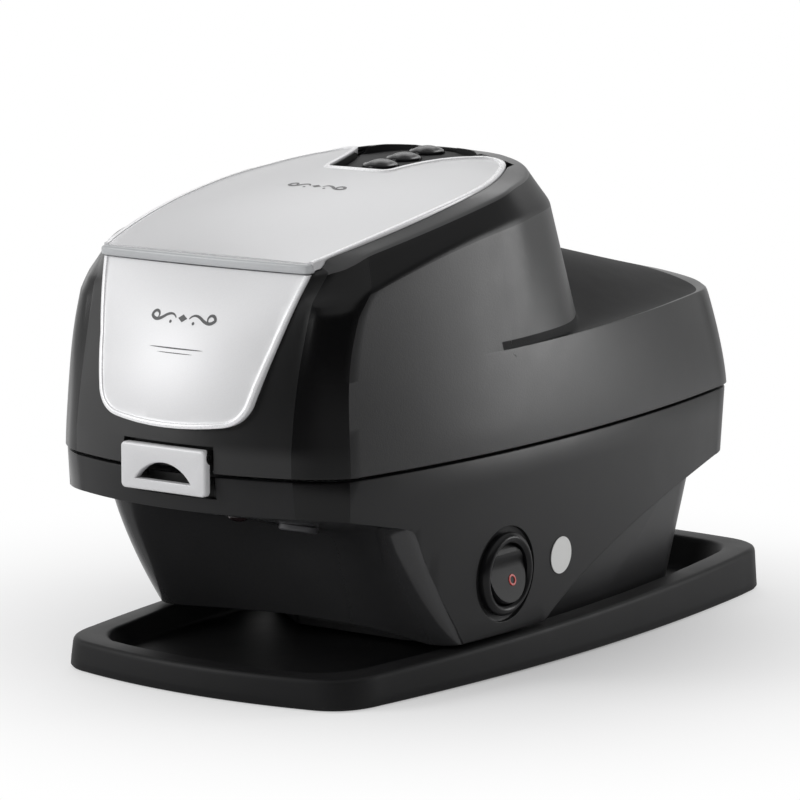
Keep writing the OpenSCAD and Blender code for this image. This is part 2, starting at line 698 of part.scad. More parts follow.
// The neck's two front corners stand forward and are rounded; between them it is hollow
neck_round = 5.3;
function neck_corner_x(d) = 46 + 0.02 * d;
function neck_corner_y(d) = -78.3 + 0.45 * d + 0.0055 * d * d;
function neck_hollow(x, d) =
    (20 - 0.3 * d) * (1 - pow(min(abs(x) / neck_corner_x(d), 1), 2.2));
function neck_rounding(x, d) =
    neck_round * (1 - sqrt(1 - pow(clamp((abs(x) - neck_corner_x(d)) / neck_round, 0, 1), 2)));
function neck_y(x, z) =
    let(d = 44.7 - z) neck_corner_y(d) + neck_hollow(x, d) + neck_rounding(x, d);
function neck_top_z(x) = let(z0 = ceiling_z(x, neck_y(x, 40))) ceiling_z(x, neck_y(x, z0));
module hand_space(grow) {
    half_xs = [0, 8, 16, 24, 32, 39, 46, 48.3, 49.8, 51, 52, 56, 70];
    xs = concat([for (k = [len(half_xs) - 1 : -1 : 1]) -half_xs[k]], half_xs);
    steps = 6;
    function section(x) =
        let(zt = neck_top_z(x) + grow)
        concat(
            [[x, -130, -6], [x, -130, ceiling_z(x, -118) + grow]],
            [for (k = [0 : steps], y = mix(-118, neck_y(x, zt) + grow, k / steps))
                [x, y, ceiling_z(x, y) + grow]],
            [for (k = [1 : steps]) let(z = mix(zt - grow, -6, k / steps)) [x, neck_y(x, z) + grow, z]]
        );
    rows = [for (x = xs) section(x)];
    n = len(rows[0]);
    m = len(xs);
    faces = concat(
        [[for (k = [n - 1 : -1 : 0]) k]],
        [for (i = [0 : m - 2], k = [0 : n - 1])
            let(a = i * n + k, b = i * n + (k + 1) % n) each [[a, b + n, a + n], [a, b, b + n]]],
        [[for (k = [0 : n - 1]) (m - 1) * n + k]]
    );
    polyhedron([for (r = rows) each r], faces, convexity = 6);
}
module rear_undercut() {
    rotate([90, 0, 90]) translate([0, 0, -80]) linear_extrude(160) polygon(concat(
        [[130, -10], [-14.5, -10], [-14.5, 10.6]],
        [for (t = [0.1 : 0.1 : 1]) bezier([-14.5, 10.6], [18.5, 32.3], [91, 41.7], t)],
        [[130, 45]]
    ));
}
switch_y = -33.1;
switch_z = 27.5;
function housing_side_x(y, z) = seam_side_x(y) - 0.5 - side_lean * (housing_top - z);
module at_switch() {
    translate([housing_side_x(switch_y, switch_z), switch_y, switch_z])
        rotate([0, 90 + atan(side_lean), 0]) children();
}
hose_start = 5.5;
nozzle_x = 10.5;
nozzle_y = -69;
module at_nozzle(side) {
    translate([side * nozzle_x, nozzle_y, ceiling_z(nozzle_x, nozzle_y)])
        rotate([-atan(ceiling_slope), 0, 0]) children();
}
module lower_housing() {
    color([0.1, 0.1, 0.105]) difference() {
        union() {
            difference() {
                housing_solid(0, housing_top, housing_bottom);
                hand_space(0);
                rear_undercut();
                difference() {
                    housing_solid(wall, housing_top + 1, 4);
                    hand_space(wall);
                }
            }
            // ribs that carry the chassis
            for (x = [-1, 1], y = [-80, -50, -10, 30, 60, 85])
                let(e = seam_side_x(y) - wall - 0.9)
                hull() {
                    translate([x * (e - 1.5), y, chassis_bottom - 0.5]) cube([3.4, 2, 1], center = true);
                    translate([x * (e - 0.1), y, 51]) cube([1, 2, 1], center = true);
                }
        }
        at_switch() {
            translate([0, 0, -8]) cylinder(r = 10.1, h = 16, $fn = 48);
            translate([0, 0, -1.1]) cylinder(r = 13.2, h = 6, $fn = 64);
        }
        at_nozzle(1) translate([0, 0, -4]) cylinder(r = 3.8, h = 10, $fn = 32);
        at_nozzle(-1) translate([0, 0, -4]) cylinder(r = 3.3, h = 10, $fn = 32);
        latch_recess(-108.6);
        translate([-13, -108.6, 54.9]) cube([26, 1, 8]);
        translate([-21, 108, 51]) cube([42, 8, 12]);
    }
}
module latch_keeper() {
    color([0.3, 0.3, 0.31]) {
        translate([-13, -108.6, 54.9]) cube([26, 1, 5.6]);
        for (x = [-12.2, 8.8]) translate([x, -109.8, 59]) cube([3.4, 1.2, 1.2]);
    }
}
chassis_bottom = 57.7;
chassis_top = 60;
module chassis() {
    color([0.2, 0.2, 0.21]) difference() {
        translate([0, 0, chassis_bottom]) linear_extrude(chassis_top - chassis_bottom)
            polygon([for (p = full_ring(housing_ring(chassis_bottom, wall + 0.5))) [p[0], p[1]]]);
        translate([-14, -115, 50]) cube([28, 8, 20]);
        translate([10, -20, 50]) cylinder(r = 3.7, h = 20);
        translate([-16, 30, 50]) cube([32, 14, 20]);
    }
}

// ---------- foot, base and tray ----------
plate_bottom = 4;
plate_top = 6;
foot_top = 44;
module foot_plan(z, inset) {
    t = (z - plate_bottom) / (foot_top - plate_bottom);
    for (x = [-1, 1]) {
        translate([x * mix(22.3, 24.5, t), mix(60, 72, t), z]) cylinder(r = 18 - inset, h = 0.01, $fn = 48);
        translate([x * mix(38, 40.5, t), 24, z]) cylinder(r = 6 - inset, h = 0.01, $fn = 32);
        translate([x * mix(37, 38, t), -10, z]) cylinder(r = 6 - inset, h = 0.01, $fn = 32);
        translate([x * 18, mix(-25, -27, t), z]) cylinder(r = 6 - inset, h = 0.01, $fn = 32);
    }
}
screw_spots = [[-20, -21], [20, -21], [-34, 50], [34, 50]];
board_posts = [[-24, 26], [24, 26], [-17, 68], [17, 68]];
pillar_spots = [[-37.5, -8], [37.5, -8], [-34, 50], [34, 50]];
inlet_x = -12;
inlet_z = 24;
module foot_shell() {
    color([0.12, 0.12, 0.125]) {
        difference() {
            hull() {
                foot_plan(plate_top, 0);
                foot_plan(foot_top, 0);
            }
            hull() {
                foot_plan(plate_top - 0.1, 2.2);
                foot_plan(foot_top + 0.1, 2.2);
            }
            translate([inlet_x, 60, inlet_z]) rotate([-90, 0, 0]) cylinder(r = 5.8, h = 60);
        }
        difference() {
            union() {
                for (p = screw_spots) translate([p[0], p[1], plate_top]) cylinder(r = 3.6, h = 12);
                for (p = pillar_spots)
                    translate([p[0], p[1], plate_top]) cylinder(r = 3.6, h = chassis_bottom - plate_top);
            }
            for (p = screw_spots) translate([p[0], p[1], plate_top - 1]) cylinder(r = 1.5, h = 12);
        }
    }
}
module base_plate() {
    color([0.12, 0.12, 0.125]) difference() {
        union() {
            hull() {
                foot_plan(plate_bottom, 0.4);
                foot_plan(plate_top - 0.01, 0.2);
            }
            for (p = board_posts) translate([p[0], p[1], plate_top - 0.2]) cylinder(r = 3, h = 8.2);
        }
        for (p = screw_spots) translate([p[0], p[1], plate_bottom]) {
            translate([0, 0, -1]) cylinder(r = 1.7, h = 8);
            translate([0, 0, -1]) cylinder(r = 3.2, h = 2.1);
        }
    }
}
module base_screws() {
    color([0.6, 0.6, 0.62]) for (p = screw_spots) translate([p[0], p[1], plate_bottom]) difference() {
        union() {
            cylinder(r = 3, h = 1.1);
            cylinder(r = 1.46, h = 11);
        }
        for (a = [0, 90]) rotate([0, 0, a]) translate([-1.6, -0.3, -0.1]) cube([3.2, 0.6, 0.7]);
    }
}
tray_floor = 3;
module base_feet() {
    color([0.15, 0.15, 0.15]) for (x = [-1, 1], y = [-12, 46])
        translate([x * 28, y, tray_floor]) cylinder(r = 5, h = plate_bottom - tray_floor);
}
tray_mid_y = 4;
// Half outline of the tray, from the front centre round the right side to the back centre
tray_front_bow = 6.2;
function tray_front_y(x) = tray_front_bow * pow(x / 45, 2);
function tray_half(inset) =
    let(h = tray_length / 2 - inset, w = tray_half_width - inset, front_x = w - 17, back_x = w - 23)
    concat(
        [for (k = [0 : 6], x = front_x * k / 6) [x, tray_front_y(x) - h]],
        [for (k = [1 : 5])
            bezier([front_x, tray_front_y(front_x) - h], [w - 7.4, 7.4 - h], [w - 6.4, 20 - h], k / 5)],
        [for (k = [1 : 11], y = mix(20 - h, h - 16, k / 12)) [w - 6.4 * pow(abs(y) / (h - 20), 2), y]],
        [for (k = [0 : 6]) bezier([w - 7.2, h - 16], [w - 8.6, h - 2.5], [back_x, h - 1.6], k / 6)],
        [for (k = [1 : 4], x = back_x * (1 - k / 4)) [x, h - 1.6 * pow(x / back_x, 2)]]
    );
function tray_loop(inset) =
    let(half = tray_half(inset), n = len(half))
    let(left = [for (k = [n - 2 : -1 : 1]) mirror_x(half[k])])
    [for (p = concat(half, left)) [p[0], p[1] + tray_mid_y]];
function rim_z(y) = mix(tray_rim_front, tray_rim_back, (y - tray_mid_y + tray_length / 2) / tray_length);
module drip_tray() {
    rim_width = 7.6;
    loops = [
        [for (p = tray_loop(9)) [p[0], p[1], 1.2]],
        [for (p = tray_loop(8.6)) [p[0], p[1], 0.2]],
        [for (p = tray_loop(0.5)) [p[0], p[1], 0.2]],
        [for (p = tray_loop(0)) [p[0], p[1], 1]],
        [for (p = tray_loop(0.5)) [p[0], p[1], rim_z(p[1]) - 0.7]],
        [for (p = tray_loop(1.2)) [p[0], p[1], rim_z(p[1])]],
        [for (p = tray_loop(rim_width)) [p[0], p[1], rim_z(p[1])]],
        [for (p = tray_loop(rim_width + 0.8)) [p[0], p[1], rim_z(p[1]) - 0.8]],
        [for (p = tray_loop(rim_width + 2)) [p[0], p[1], tray_floor]]
    ];
    n = len(loops[0]);
    m = len(loops);
    faces = concat(
        [[for (k = [n - 1 : -1 : 0]) k]],
        [for (i = [0 : m - 2], k = [0 : n - 1])
            let(a = i * n + k, b = i * n + (k + 1) % n) each [[a, b, b + n], [a, b + n, a + n]]],
        [[for (k = [0 : n - 1]) (m - 1) * n + k]]
    );
    color([0.09, 0.09, 0.095]) polyhedron([for (l = loops) each l],
        [for (f = faces) [for (k = [len(f) - 1 : -1 : 0]) f[k]]], convexity = 4);
}
module tray_pads() {
    color([0.15, 0.15, 0.15]) for (x = [-1, 1], y = [-80, 86])
        translate([x * 34, y, 0]) cylinder(r = 5, h = 1.2);
}

// ---------- switch and small parts on the side ----------
rocker_pivot = -1.2;
module switch_housing() {
    color([0.05, 0.05, 0.055]) at_switch() difference() {
        union() {
            translate([0, 0, -1.1]) cylinder(r = bezel_radius, h = 1.9);
            translate([0, 0, 0.8]) cylinder(r1 = bezel_radius, r2 = bezel_radius - 1, h = 0.8);
            translate([0, 0, -17]) cylinder(r = 9.9, h = 16);
            for (x = [-5, 0, 5]) translate([x - 0.4, -2.4, -24]) cube([0.8, 4.8, 8]);
        }
        translate([0, 0, -11]) cylinder(r = 8.7, h = 14);
        translate([0, 0, 0.9]) cylinder(r1 = 8.7, r2 = 9.6, h = 0.9);
    }
}
module rocker_frame() {
    at_switch() translate([0, 0, rocker_pivot]) rotate([0, -rocker_lean, 0]) children();
}
module switch_rocker() {
    color([0.08, 0.08, 0.085]) rocker_frame() intersection() {
        sphere(8.4, $fn = 96);
        rotate([90, 0, 0]) translate([0, 0, -10]) linear_extrude(20)
            polygon([[-9, -6], [9, -6], [9, 2.9], [-0.6, 1.5], [-9, 2.9]]);
    }
}
module switch_mark() {
    color([0.75, 0.1, 0.06]) rocker_frame() rotate([0, -9.46, 0]) translate([3.3, 0.4, 1.85])
        rotate([0, 0, 60]) linear_extrude(0.2) union() {
            square([3, 1.5], center = true);
            for (x = [-1.5, 1.5]) translate([x, 0]) circle(r = 0.75, $fn = 24);
        }
}
module inspection_dot() {
    dot_y = -6.6;
    dot_z = 28.5;
    color([0.9, 0.9, 0.9]) translate([housing_side_x(dot_y, dot_z) + 0.04, dot_y, dot_z])
        rotate([0, 0, 2.2]) rotate([0, 90 + atan(side_lean), 0]) cylinder(r = 5.2, h = 0.25);
}

// ---------- lather path ----------
module nozzle() {
    color([0.3, 0.3, 0.31]) at_nozzle(1) difference() {
        union() {
            translate([0, 0, -1.75]) cylinder(r = 5.4, h = 1.6);
            translate([0, 0, -0.5]) cylinder(r = 3.5, h = hose_start + 0.5);
        }
        translate([0, 0, -3]) cylinder(r = 2.2, h = 20);
    }
}
module sensor_window() {
    color([0.25, 0.1, 0.12]) at_nozzle(-1) {
        translate([0, 0, -0.6]) cylinder(r = 3, h = 4.2);
        translate([0, 0, 2.6]) cylinder(r = 4.2, h = 1);
    }
}
module sensor_board() {
    color([0.1, 0.35, 0.2]) at_nozzle(-1) {
        translate([-8, -6, 5.4]) cube([16, 12, 1.2]);
        translate([0, 0, 3.6]) cylinder(r = 2.4, h = 1.9);
    }
}
// The lather pipe leaves the nozzle's stem square to the ceiling and turns level in an elbow block
elbow_size = 8.4;
elbow_y = -66.9;
elbow_z = 51.9;
heater_y = -50;
heater_z = 45.9;
module heater_block() {
    color([0.75, 0.75, 0.77]) difference() {
        translate([-8, heater_y, heater_z]) cube([34, 36, chassis_bottom - heater_z]);
        translate([nozzle_x, heater_y - 1, elbow_z]) rotate([-90, 0, 0]) cylinder(r = 2.2, h = 33);
        translate([10, -20, elbow_z]) cylinder(r = 2.2, h = 10);
    }
}
module thermostat() {
    color([0.55, 0.5, 0.42]) translate([8, -21.5, heater_z]) {
        translate([0, 0, -5]) cylinder(r = 7.5, h = 5);
        for (x = [-4, 4]) translate([x - 0.4, -1.6, -10]) cube([0.8, 3.2, 5.2]);
    }
}
// Elbow block between the nozzle's stem and the level pipe to the heater
module outlet_hose() {
    color([0.75, 0.78, 0.8]) difference() {
        union() {
            at_nozzle(1) translate([0, 0, hose_start + 0.05]) cylinder(r = 3.5, h = 3);
            translate([nozzle_x, elbow_y, elbow_z]) cube(elbow_size, center = true);
            translate([nozzle_x, elbow_y, elbow_z]) rotate([-90, 0, 0])
                cylinder(r = 3.5, h = heater_y - elbow_y);
        }
        at_nozzle(1) translate([0, 0, hose_start - 1]) cylinder(r = 2.2, h = 7.4);
        translate([nozzle_x, elbow_y - 2.4, elbow_z]) rotate([-90, 0, 0]) cylinder(r = 2, h = 30);
    }
}
module soap_tank() {
    color([0.8, 0.85, 0.88]) difference() {
        intersection() {
            translate([0, 0, chassis_top]) linear_extrude(90) tank_area(0);
            top_slab(5.2, 90);
        }
        intersection() {
            translate([0, 0, 63]) linear_extrude(90) tank_area(-2);
            top_slab(-5, 88);
        }
        translate([-12, tank_back_y - 4, 70]) rotate([-90, 0, 0]) cylinder(r = 1.5, h = 8);
        // grooves under the floor
        for (k = [0 : 7]) hull()
            for (y = [-72, -56])
                translate([6 * k - 21, y, chassis_top - 1]) cylinder(r = 1, h = 2, $fn = 12);
    }
}
chamber_y = -6;
chamber_base = chassis_top;
module foam_chamber() {
    color([0.82, 0.82, 0.8]) difference() {
        union() {
            translate([0, chamber_y, chamber_base]) cylinder(r = 20, h = 28);
            translate([10, -20, chassis_bottom]) cylinder(r = 3.4, h = 5);
            translate([-17, -27, 66]) cube([10, 12, 8]);
        }
        translate([0, chamber_y, chamber_base + 2.4]) cylinder(r = 18, h = 40);
        translate([10, -20, 50]) cylinder(r = 2.2, h = 14);
        translate([-12, -30, 70]) rotate([-90, 0, 0]) cylinder(r = 1.5, h = 14);
    }
}
module feed_hose() {
    color([0.75, 0.78, 0.8]) difference() {
        translate([-12, tank_back_y, 70]) rotate([-90, 0, 0]) cylinder(r = 2.8, h = -27 - tank_back_y);
        translate([-12, tank_back_y - 1, 70]) rotate([-90, 0, 0]) cylinder(r = 1.5, h = 20);
    }
}
module chamber_lid() {
    color([0.7, 0.7, 0.68]) difference() {
        translate([0, chamber_y, chamber_base + 28]) cylinder(r = 20, h = 3);
        translate([0, chamber_y, chamber_base]) cylinder(r = 2.05, h = 60);
    }
}
module beater() {
    color([0.75, 0.75, 0.77]) translate([0, chamber_y, 0]) {
        translate([0, 0, chamber_base + 5]) cylinder(r = 2, h = 33);
        translate([0, 0, chamber_base + 5]) cylinder(r = 14, h = 1.6);
        for (a = [0 : 60 : 300])
            rotate([0, 0, a]) translate([3, -0.6, chamber_base + 6]) cube([10.5, 1.2, 14]);
    }
}
module motor() {
    color([0.6, 0.6, 0.62]) difference() {
        union() {
            translate([0, chamber_y, chamber_base + 31]) cylinder(r = 13.5, h = 24);
            translate([0, chamber_y, chamber_base + 55]) cylinder(r = 5, h = 2.4);
            for (x = [-5, 5]) translate([x - 1.4, chamber_y + 8, chamber_base + 54]) cube([2.8, 0.8, 5]);
        }
        translate([0, chamber_y, chamber_base + 30]) cylinder(r = 2.06, h = 9);
    }
}
module power_board() {
    color([0.1, 0.35, 0.2]) {
        translate([-28, 22, 14]) cube([56, 50, 1.6]);
        for (x = [-22, -12]) translate([x, 30, 15.6]) cylinder(r = 4, h = 14);
        translate([12, 52, 15.6]) cube([8, 10, 12]);
        translate([-24, 48, 15.6]) cube([14, 3, 16]);
    }
}
module transformer() {
    color([0.55, 0.45, 0.2]) {
        translate([-2, 28, 15.6]) cube([26, 20, 20]);
        translate([3, 25.4, 19]) cube([16, 25.2, 13]);
    }
}
module power_inlet() {
    color([0.05, 0.05, 0.055]) translate([inlet_x, 71, inlet_z]) rotate([-90, 0, 0]) {
        difference() {
            cylinder(r = 5.5, h = 13.5);
            translate([0, 0, 4]) cylinder(r = 2.9, h = 20);
        }
        translate([0, 0, 3]) cylinder(r = 1, h = 9);
    }
}

drip_tray();
tray_pads();
lower_housing();
foot_shell();
base_plate();
base_feet();
base_screws();
chassis();
upper_cover();
front_fascia();
control_panel();
button_front();
button_middle();
button_rear();
button_board();
top_lid();
lid_lip();
lid_seal();
lid_hinge_blocks();
lid_pins();
lid_hinge_brackets();
latch_plate();
latch_pin();
latch_bracket();
latch_keeper();
rear_hinge_lower();
rear_hinge_upper();
rear_hinge_pin();
switch_housing();
switch_rocker();
switch_mark();
inspection_dot();
nozzle();
sensor_window();
sensor_board();
heater_block();
thermostat();
outlet_hose();
soap_tank();
foam_chamber();
chamber_lid();
beater();
motor();
feed_hose();
power_board();
transformer();
power_inlet();
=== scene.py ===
import math

import bmesh
import bpy
from mathutils import Matrix, Vector


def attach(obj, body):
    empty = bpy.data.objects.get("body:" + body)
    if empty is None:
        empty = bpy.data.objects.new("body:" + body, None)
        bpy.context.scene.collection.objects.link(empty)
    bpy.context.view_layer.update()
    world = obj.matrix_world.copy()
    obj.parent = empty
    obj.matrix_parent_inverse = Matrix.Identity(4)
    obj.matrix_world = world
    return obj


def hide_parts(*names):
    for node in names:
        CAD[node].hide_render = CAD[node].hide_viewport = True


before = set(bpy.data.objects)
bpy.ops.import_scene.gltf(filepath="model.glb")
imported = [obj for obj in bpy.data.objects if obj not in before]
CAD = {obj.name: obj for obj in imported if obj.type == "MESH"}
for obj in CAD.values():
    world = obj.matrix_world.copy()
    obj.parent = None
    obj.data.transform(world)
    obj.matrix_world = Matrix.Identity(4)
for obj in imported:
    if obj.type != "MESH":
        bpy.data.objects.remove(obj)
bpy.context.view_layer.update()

MM = 0.001


# ---------------------------------------------------------------- numbers
def mix(a, b, t):
    return a + (b - a) * t


def clamp(v, lo, hi):
    return min(max(v, lo), hi)


def bezier(a, b, c, t):
    return tuple(p * (1 - t) ** 2 + q * 2 * t * (1 - t) + r * t * t for p, q, r in zip(a, b, c))


def arc(cx, cy, r, start, end, count):
    """Points on an arc, with angles in degrees."""
    turns = [math.radians(mix(start, end, k / count)) for k in range(count + 1)]
    return [(cx + r * math.cos(a), cy + r * math.sin(a)) for a in turns]


def mirrored(points):
    """A half outline and its mirror image across the middle plane."""
    return points + [(-x, y) for x, y in reversed(points) if x > 0.01]


def grown(points, by):
    """An outline moved outwards along its normals; it runs anticlockwise."""
    out = []
    n = len(points)
    for k, p in enumerate(points):
        a, b = Vector(points[k - 1]), Vector(points[(k + 1) % n])
        before, after = (Vector(p) - a).normalized(), (b - Vector(p)).normalized()
        n1, n2 = Vector((before.y, -before.x)), Vector((after.y, -after.x))
        mean = (n1 + n2).normalized()
        out.append(tuple(Vector(p) + mean * by / max(mean.dot(n1), 0.5)))
    return out


# ---------------------------------------------------------------- the machine's own lines, in millimetres
# s counts along half an outline: 0 at the front, 6 to 8 round the front corner, 12 where the rear deck
# starts, 20 where the rear corner starts, 28 where it ends and 32 at the back.
FRONT_END, CORNER_END, DECK_S, REAR_CORNER, REAR_START, LAST_S = 6, 8, 12, 20, 28, 32
SEAM_Z = 61.8
COVER_FOOT = 62.2
RIDGE_Z = 88.5
DECK_START = -35
FRONT_X = 36
SEAM_BAND, SEAM_WIDE, SEAM_END = (48.6, -96.1), 55.3, (43, 91)
RIDGE_BAND, RIDGE_WIDE, RIDGE_END = (46.8, -95.6), 52.7, (38.6, 86)
NOTCH_Y = -29
LID_FRONT = -94.6
REVEAL = 0.3
LID_AXIS = (0, 132.3)
PLATE_TOP = 114.5
LIP_Z = (114.6, 117.1)
PANEL_TILT = 5.2
BUTTON_PITCH = 10.9
LATCH_Z = 62.2
LATCH_BACK = -108.6
LATCH_AXIS = (-111.2, 66.4)
HOUSING_TOP, HOUSING_FOOT = 61.2, 10.8
SIDE_LEAN, END_LEAN = 0.03, 0.13
CEILING_SLOPE = 0.234
TRAY_HALF = (57.3, 110)
WALL = 2.2
MOST_SKINS = 6


def crest_z(y):
    """The top's height along its middle."""
    return 130.2 + 0.22 * (y + 50) - 0.0015 * (y + 50) ** 2


def crown_drop(y):
    """How far the top falls from its middle to the lid's edge."""
    return 4 * (1 - ((y + 20) / 76) ** 2) if y < -20 else 4 - 0.05 * (y + 20)


def lid_half_x(y):
    if y < -45:
        return 41.6 - 6.4 * ((y + 45) / 51) ** 2
    return 41.6 - 11.5 * ((y + 45) / 45) ** 2.4


def top_z(x, y):
    return crest_z(y) - crown_drop(y) * (x / lid_half_x(min(y, -2))) ** 2


def front_mid_y(z):
    return -112.5 + 0.0073 * max(z - 68, 0) ** 2


def front_y(x, z):
    bulge = 6.6 if z < 95 else 6.6 - 0.22 * (z - 95)
    return front_mid_y(z) + bulge * (x / FRONT_X) ** 2


def side_x(y, crease, widest, end):
    """A flank bowed outwards between its front and its rear crease, widest at y = -26."""
    far = crease if y < -26 else end
    return widest - (widest - far[0]) * ((y + 26) / (far[1] + 26)) ** 2


def seam_side_x(y):
    return side_x(y, SEAM_BAND, SEAM_WIDE, SEAM_END)


def deck_half_x(y):
    return side_x(min(y, 86), RIDGE_BAND, RIDGE_WIDE, RIDGE_END)


def plan(s, z, band_in, band_out, widest, end, corner, back, back_y):
    """The point at s of a half outline, at a height z."""
    if s < FRONT_END:
        x = band_in[0] * s / FRONT_END
        return x, front_y(x, z)
    if s <= CORNER_END:
        t = (s - FRONT_END) / (CORNER_END - FRONT_END)
        swell = 3.6 * t * (1 - t)
        return mix(band_in[0], band_out[0], t) + 0.7 * swell, mix(band_in[1], band_out[1], t) - 0.7 * swell
    if s <= DECK_S:
        y = mix(band_out[1], DECK_START, (s - CORNER_END) / (DECK_S - CORNER_END))
        return side_x(y, band_out, widest, end), y
    if s <= REAR_CORNER:
        y = mix(DECK_START, end[1], (s - DECK_S) / (REAR_CORNER - DECK_S))
        return side_x(y, band_out, widest, end), y
    if s <= REAR_START:
        return bezier(end, corner, back, (s - REAR_CORNER) / (REAR_START - REAR_CORNER))
    x = back[0] * (LAST_S - s) / (LAST_S - REAR_START)
    return x, back_y - (back_y - back[1]) * (x / back[0]) ** 2


def seam_at(s):
    return plan(s, SEAM_Z, (36.5, -105.8), SEAM_BAND, SEAM_WIDE, SEAM_END,
                (40.5, 108), (20, 108.7), 109.4)


def ridge_z(y):
    return RIDGE_Z + 0.016 * max(y + 35, 0)


def shoulder_z(y):
    return mix(108, 110.8, (y + 101) / 16) if y < -85 else 118.5 + 0.2 * (y + 50) - 0.0015 * (y + 50) ** 2


def brow_z(y):
    if y < -91:
        return mix(113.4, 114.8, (y + 98) / 7)
    if y < -81:
        return mix(114.8, 118.7, (y + 91) / 10)
    return 124.7 + 0.19 * (y + 50)


def deck_z(x, y):
    hump = max(1 - (x / deck_half_x(y)) ** 2, 0)
    return ridge_z(y) + (3 + 0.25 * max(105 - y, 0)) * hump ** 2


def seam_point(s):
    return (*seam_at(s), SEAM_Z)


def ridge_point(s):
    x, y = plan(s, RIDGE_Z, (36, -102.8), RIDGE_BAND, RIDGE_WIDE, RIDGE_END,
                (36.4, 103), (17, 103.8), 104.4)
    return x, y, mix(ridge_z(y), deck_z(x, y), clamp(s - 24, 0, 1))


def foot_point(s):
    x, y = plan(s, RIDGE_Z, (36, -102.8), RIDGE_BAND, RIDGE_WIDE, (51.2, -4),
                (50.5, 23.5), (22, 24), 25.5)
    return x, y, mix(ridge_z(y), deck_z(x, y), clamp(s - DECK_S, 0, 1))


def shoulder_point(s):
    x, y = plan(s, 108, (37, -96.4), (47.2, -85), 50.2, (46.5, -10),
                (45.5, 13.5), (22, 14.5), 16)
    return x, y, min(shoulder_z(y), 128)


def brow_point(s):
    x, y = plan(s, 113.4, (39.2, -91), (42.5, -81), 46.2, (42.4, -14),
                (39.5, 9), (20, 10.5), 12)
    return x, y, min(brow_z(y), top_z(x, y) - 0.6) if y > -14 else brow_z(y)


def lid_point(s):
    x, y = plan(s, 117, (35.2, -94.6), (37.6, -83.5), 41.6, (38, -19),
                (34.5, 2.5), (20, 4.5), 6)
    return x, y, top_z(x, y)


def wall_point(s, t):
    a, b = seam_point(s), ridge_point(s)
    swell = t ** 1.4
    x, z = mix(a[0], b[0], swell), mix(a[2], b[2], t)
    return x, mix(front_y(x, z), mix(a[1], b[1], swell), clamp(s - FRONT_END, 0, 1)), z


def deck_point(s, t):
    if s <= DECK_S:
        return ridge_point(s)
    a, b = ridge_point(s), foot_point(s)
    x, y = mix(a[0], b[0], t), mix(a[1], b[1], t)
    z = mix(a[2], b[2], t)
    return x, y, mix(z, deck_z(x, y), clamp(s - DECK_S, 0, 1) * min(4 * t * (1 - t) * 3, 1))


def head_point(s, t):
    a, b = foot_point(s), shoulder_point(s)
    x, y, z = (mix(p, q, t) for p, q in zip(a, b))
    swell = clamp(3 - 0.75 * max(s - CORNER_END, 0), 0, 3)
    return x, mix(front_y(x, z), y - swell * 4 * t * (1 - t), clamp(s - FRONT_END, 0, 1)), z


def cap_point(s, t):
    e = lid_point(s)
    spine = mix(-62, -14, clamp((s - FRONT_END) / 20, 0, 1))
    x, y = mix(e[0], 0, t), mix(e[1], spine, t)
    return x, y, top_z(x, y)


# ---------------------------------------------------------------- mesh tools
def whole(mesh):
    return mesh.verts[:] + mesh.edges[:] + mesh.faces[:]


def only(kind, geom):
    return [g for g in geom if isinstance(g, kind)]


def merged(mesh, reach=0.004):
    bmesh.ops.remove_doubles(mesh, verts=mesh.verts, dist=reach)
    bmesh.ops.dissolve_degenerate(mesh, edges=mesh.edges, dist=reach)
    bmesh.ops.recalc_face_normals(mesh, faces=mesh.faces)
    return mesh


def drape(across, along, place):
    """A grid whose points are moved onto a surface; place takes two numbers from 0 to 1."""
    mesh = bmesh.new()
    bmesh.ops.create_grid(mesh, x_segments=across, y_segments=along, size=1)
    for v in mesh.verts:
        v.co = place((v.co.x + 1) / 2, (v.co.y + 1) / 2)
    return mesh


def capped(mesh):
    merged(mesh)
    open_edges = [e for e in mesh.edges if e.is_boundary]
    bmesh.ops.holes_fill(mesh, edges=open_edges)
    bmesh.ops.recalc_face_normals(mesh, faces=mesh.faces)
    return mesh


def flat_face(mesh, points, z):
    return mesh.faces.new([mesh.verts.new((x, y, z)) for x, y in points])


def raised(mesh, face):
    """Extrudes a face where it is and returns the new one."""
    result = bmesh.ops.extrude_face_region(mesh, geom=[face])
    bmesh.ops.delete(mesh, geom=[face], context="FACES_ONLY")
    return only(bmesh.types.BMFace, result["geom"])[0]


def moulding(points, foot, steps):
    """A flat moulding: an outline raised from foot, then stepped inwards.
    steps gives (how far in, height) pairs for the rim and its rounding."""
    mesh = bmesh.new()
    face = flat_face(mesh, points, foot)
    if sum(a[0] * b[1] - b[0] * a[1] for a, b in zip(points, points[1:] + points[:1])) < 0:
        face.normal_flip()
    under = bmesh.ops.duplicate(mesh, geom=[face])
    bmesh.ops.reverse_faces(mesh, faces=only(bmesh.types.BMFace, under["geom"]))
    face = raised(mesh, face)
    last = steps[0][0]
    for k, (reach, height) in enumerate(steps):
        if reach > last:
            bmesh.ops.inset_region(mesh, faces=[face], thickness=reach - last, use_even_offset=True)
        elif k > 0:
            face = raised(mesh, face)
        for v in face.verts:
            v.co.z = height
        last = reach
    return merged(mesh, 0.0005)


def diced(mesh, step):
    """Cuts a mesh along a square lattice, so that it can follow a curved surface."""
    corners = [v.co.copy() for v in mesh.verts]
    for axis in (0, 1):
        lo, hi = min(p[axis] for p in corners), max(p[axis] for p in corners)
        count = int((hi - lo) / step)
        way = Vector((1 - axis, axis, 0))
        for k in range(1, count + 1):
            bmesh.ops.bisect_plane(mesh, geom=whole(mesh), plane_co=way * (lo + (hi - lo) * k / (count + 1)),
                                   plane_no=way, dist=0.0005)
    return mesh


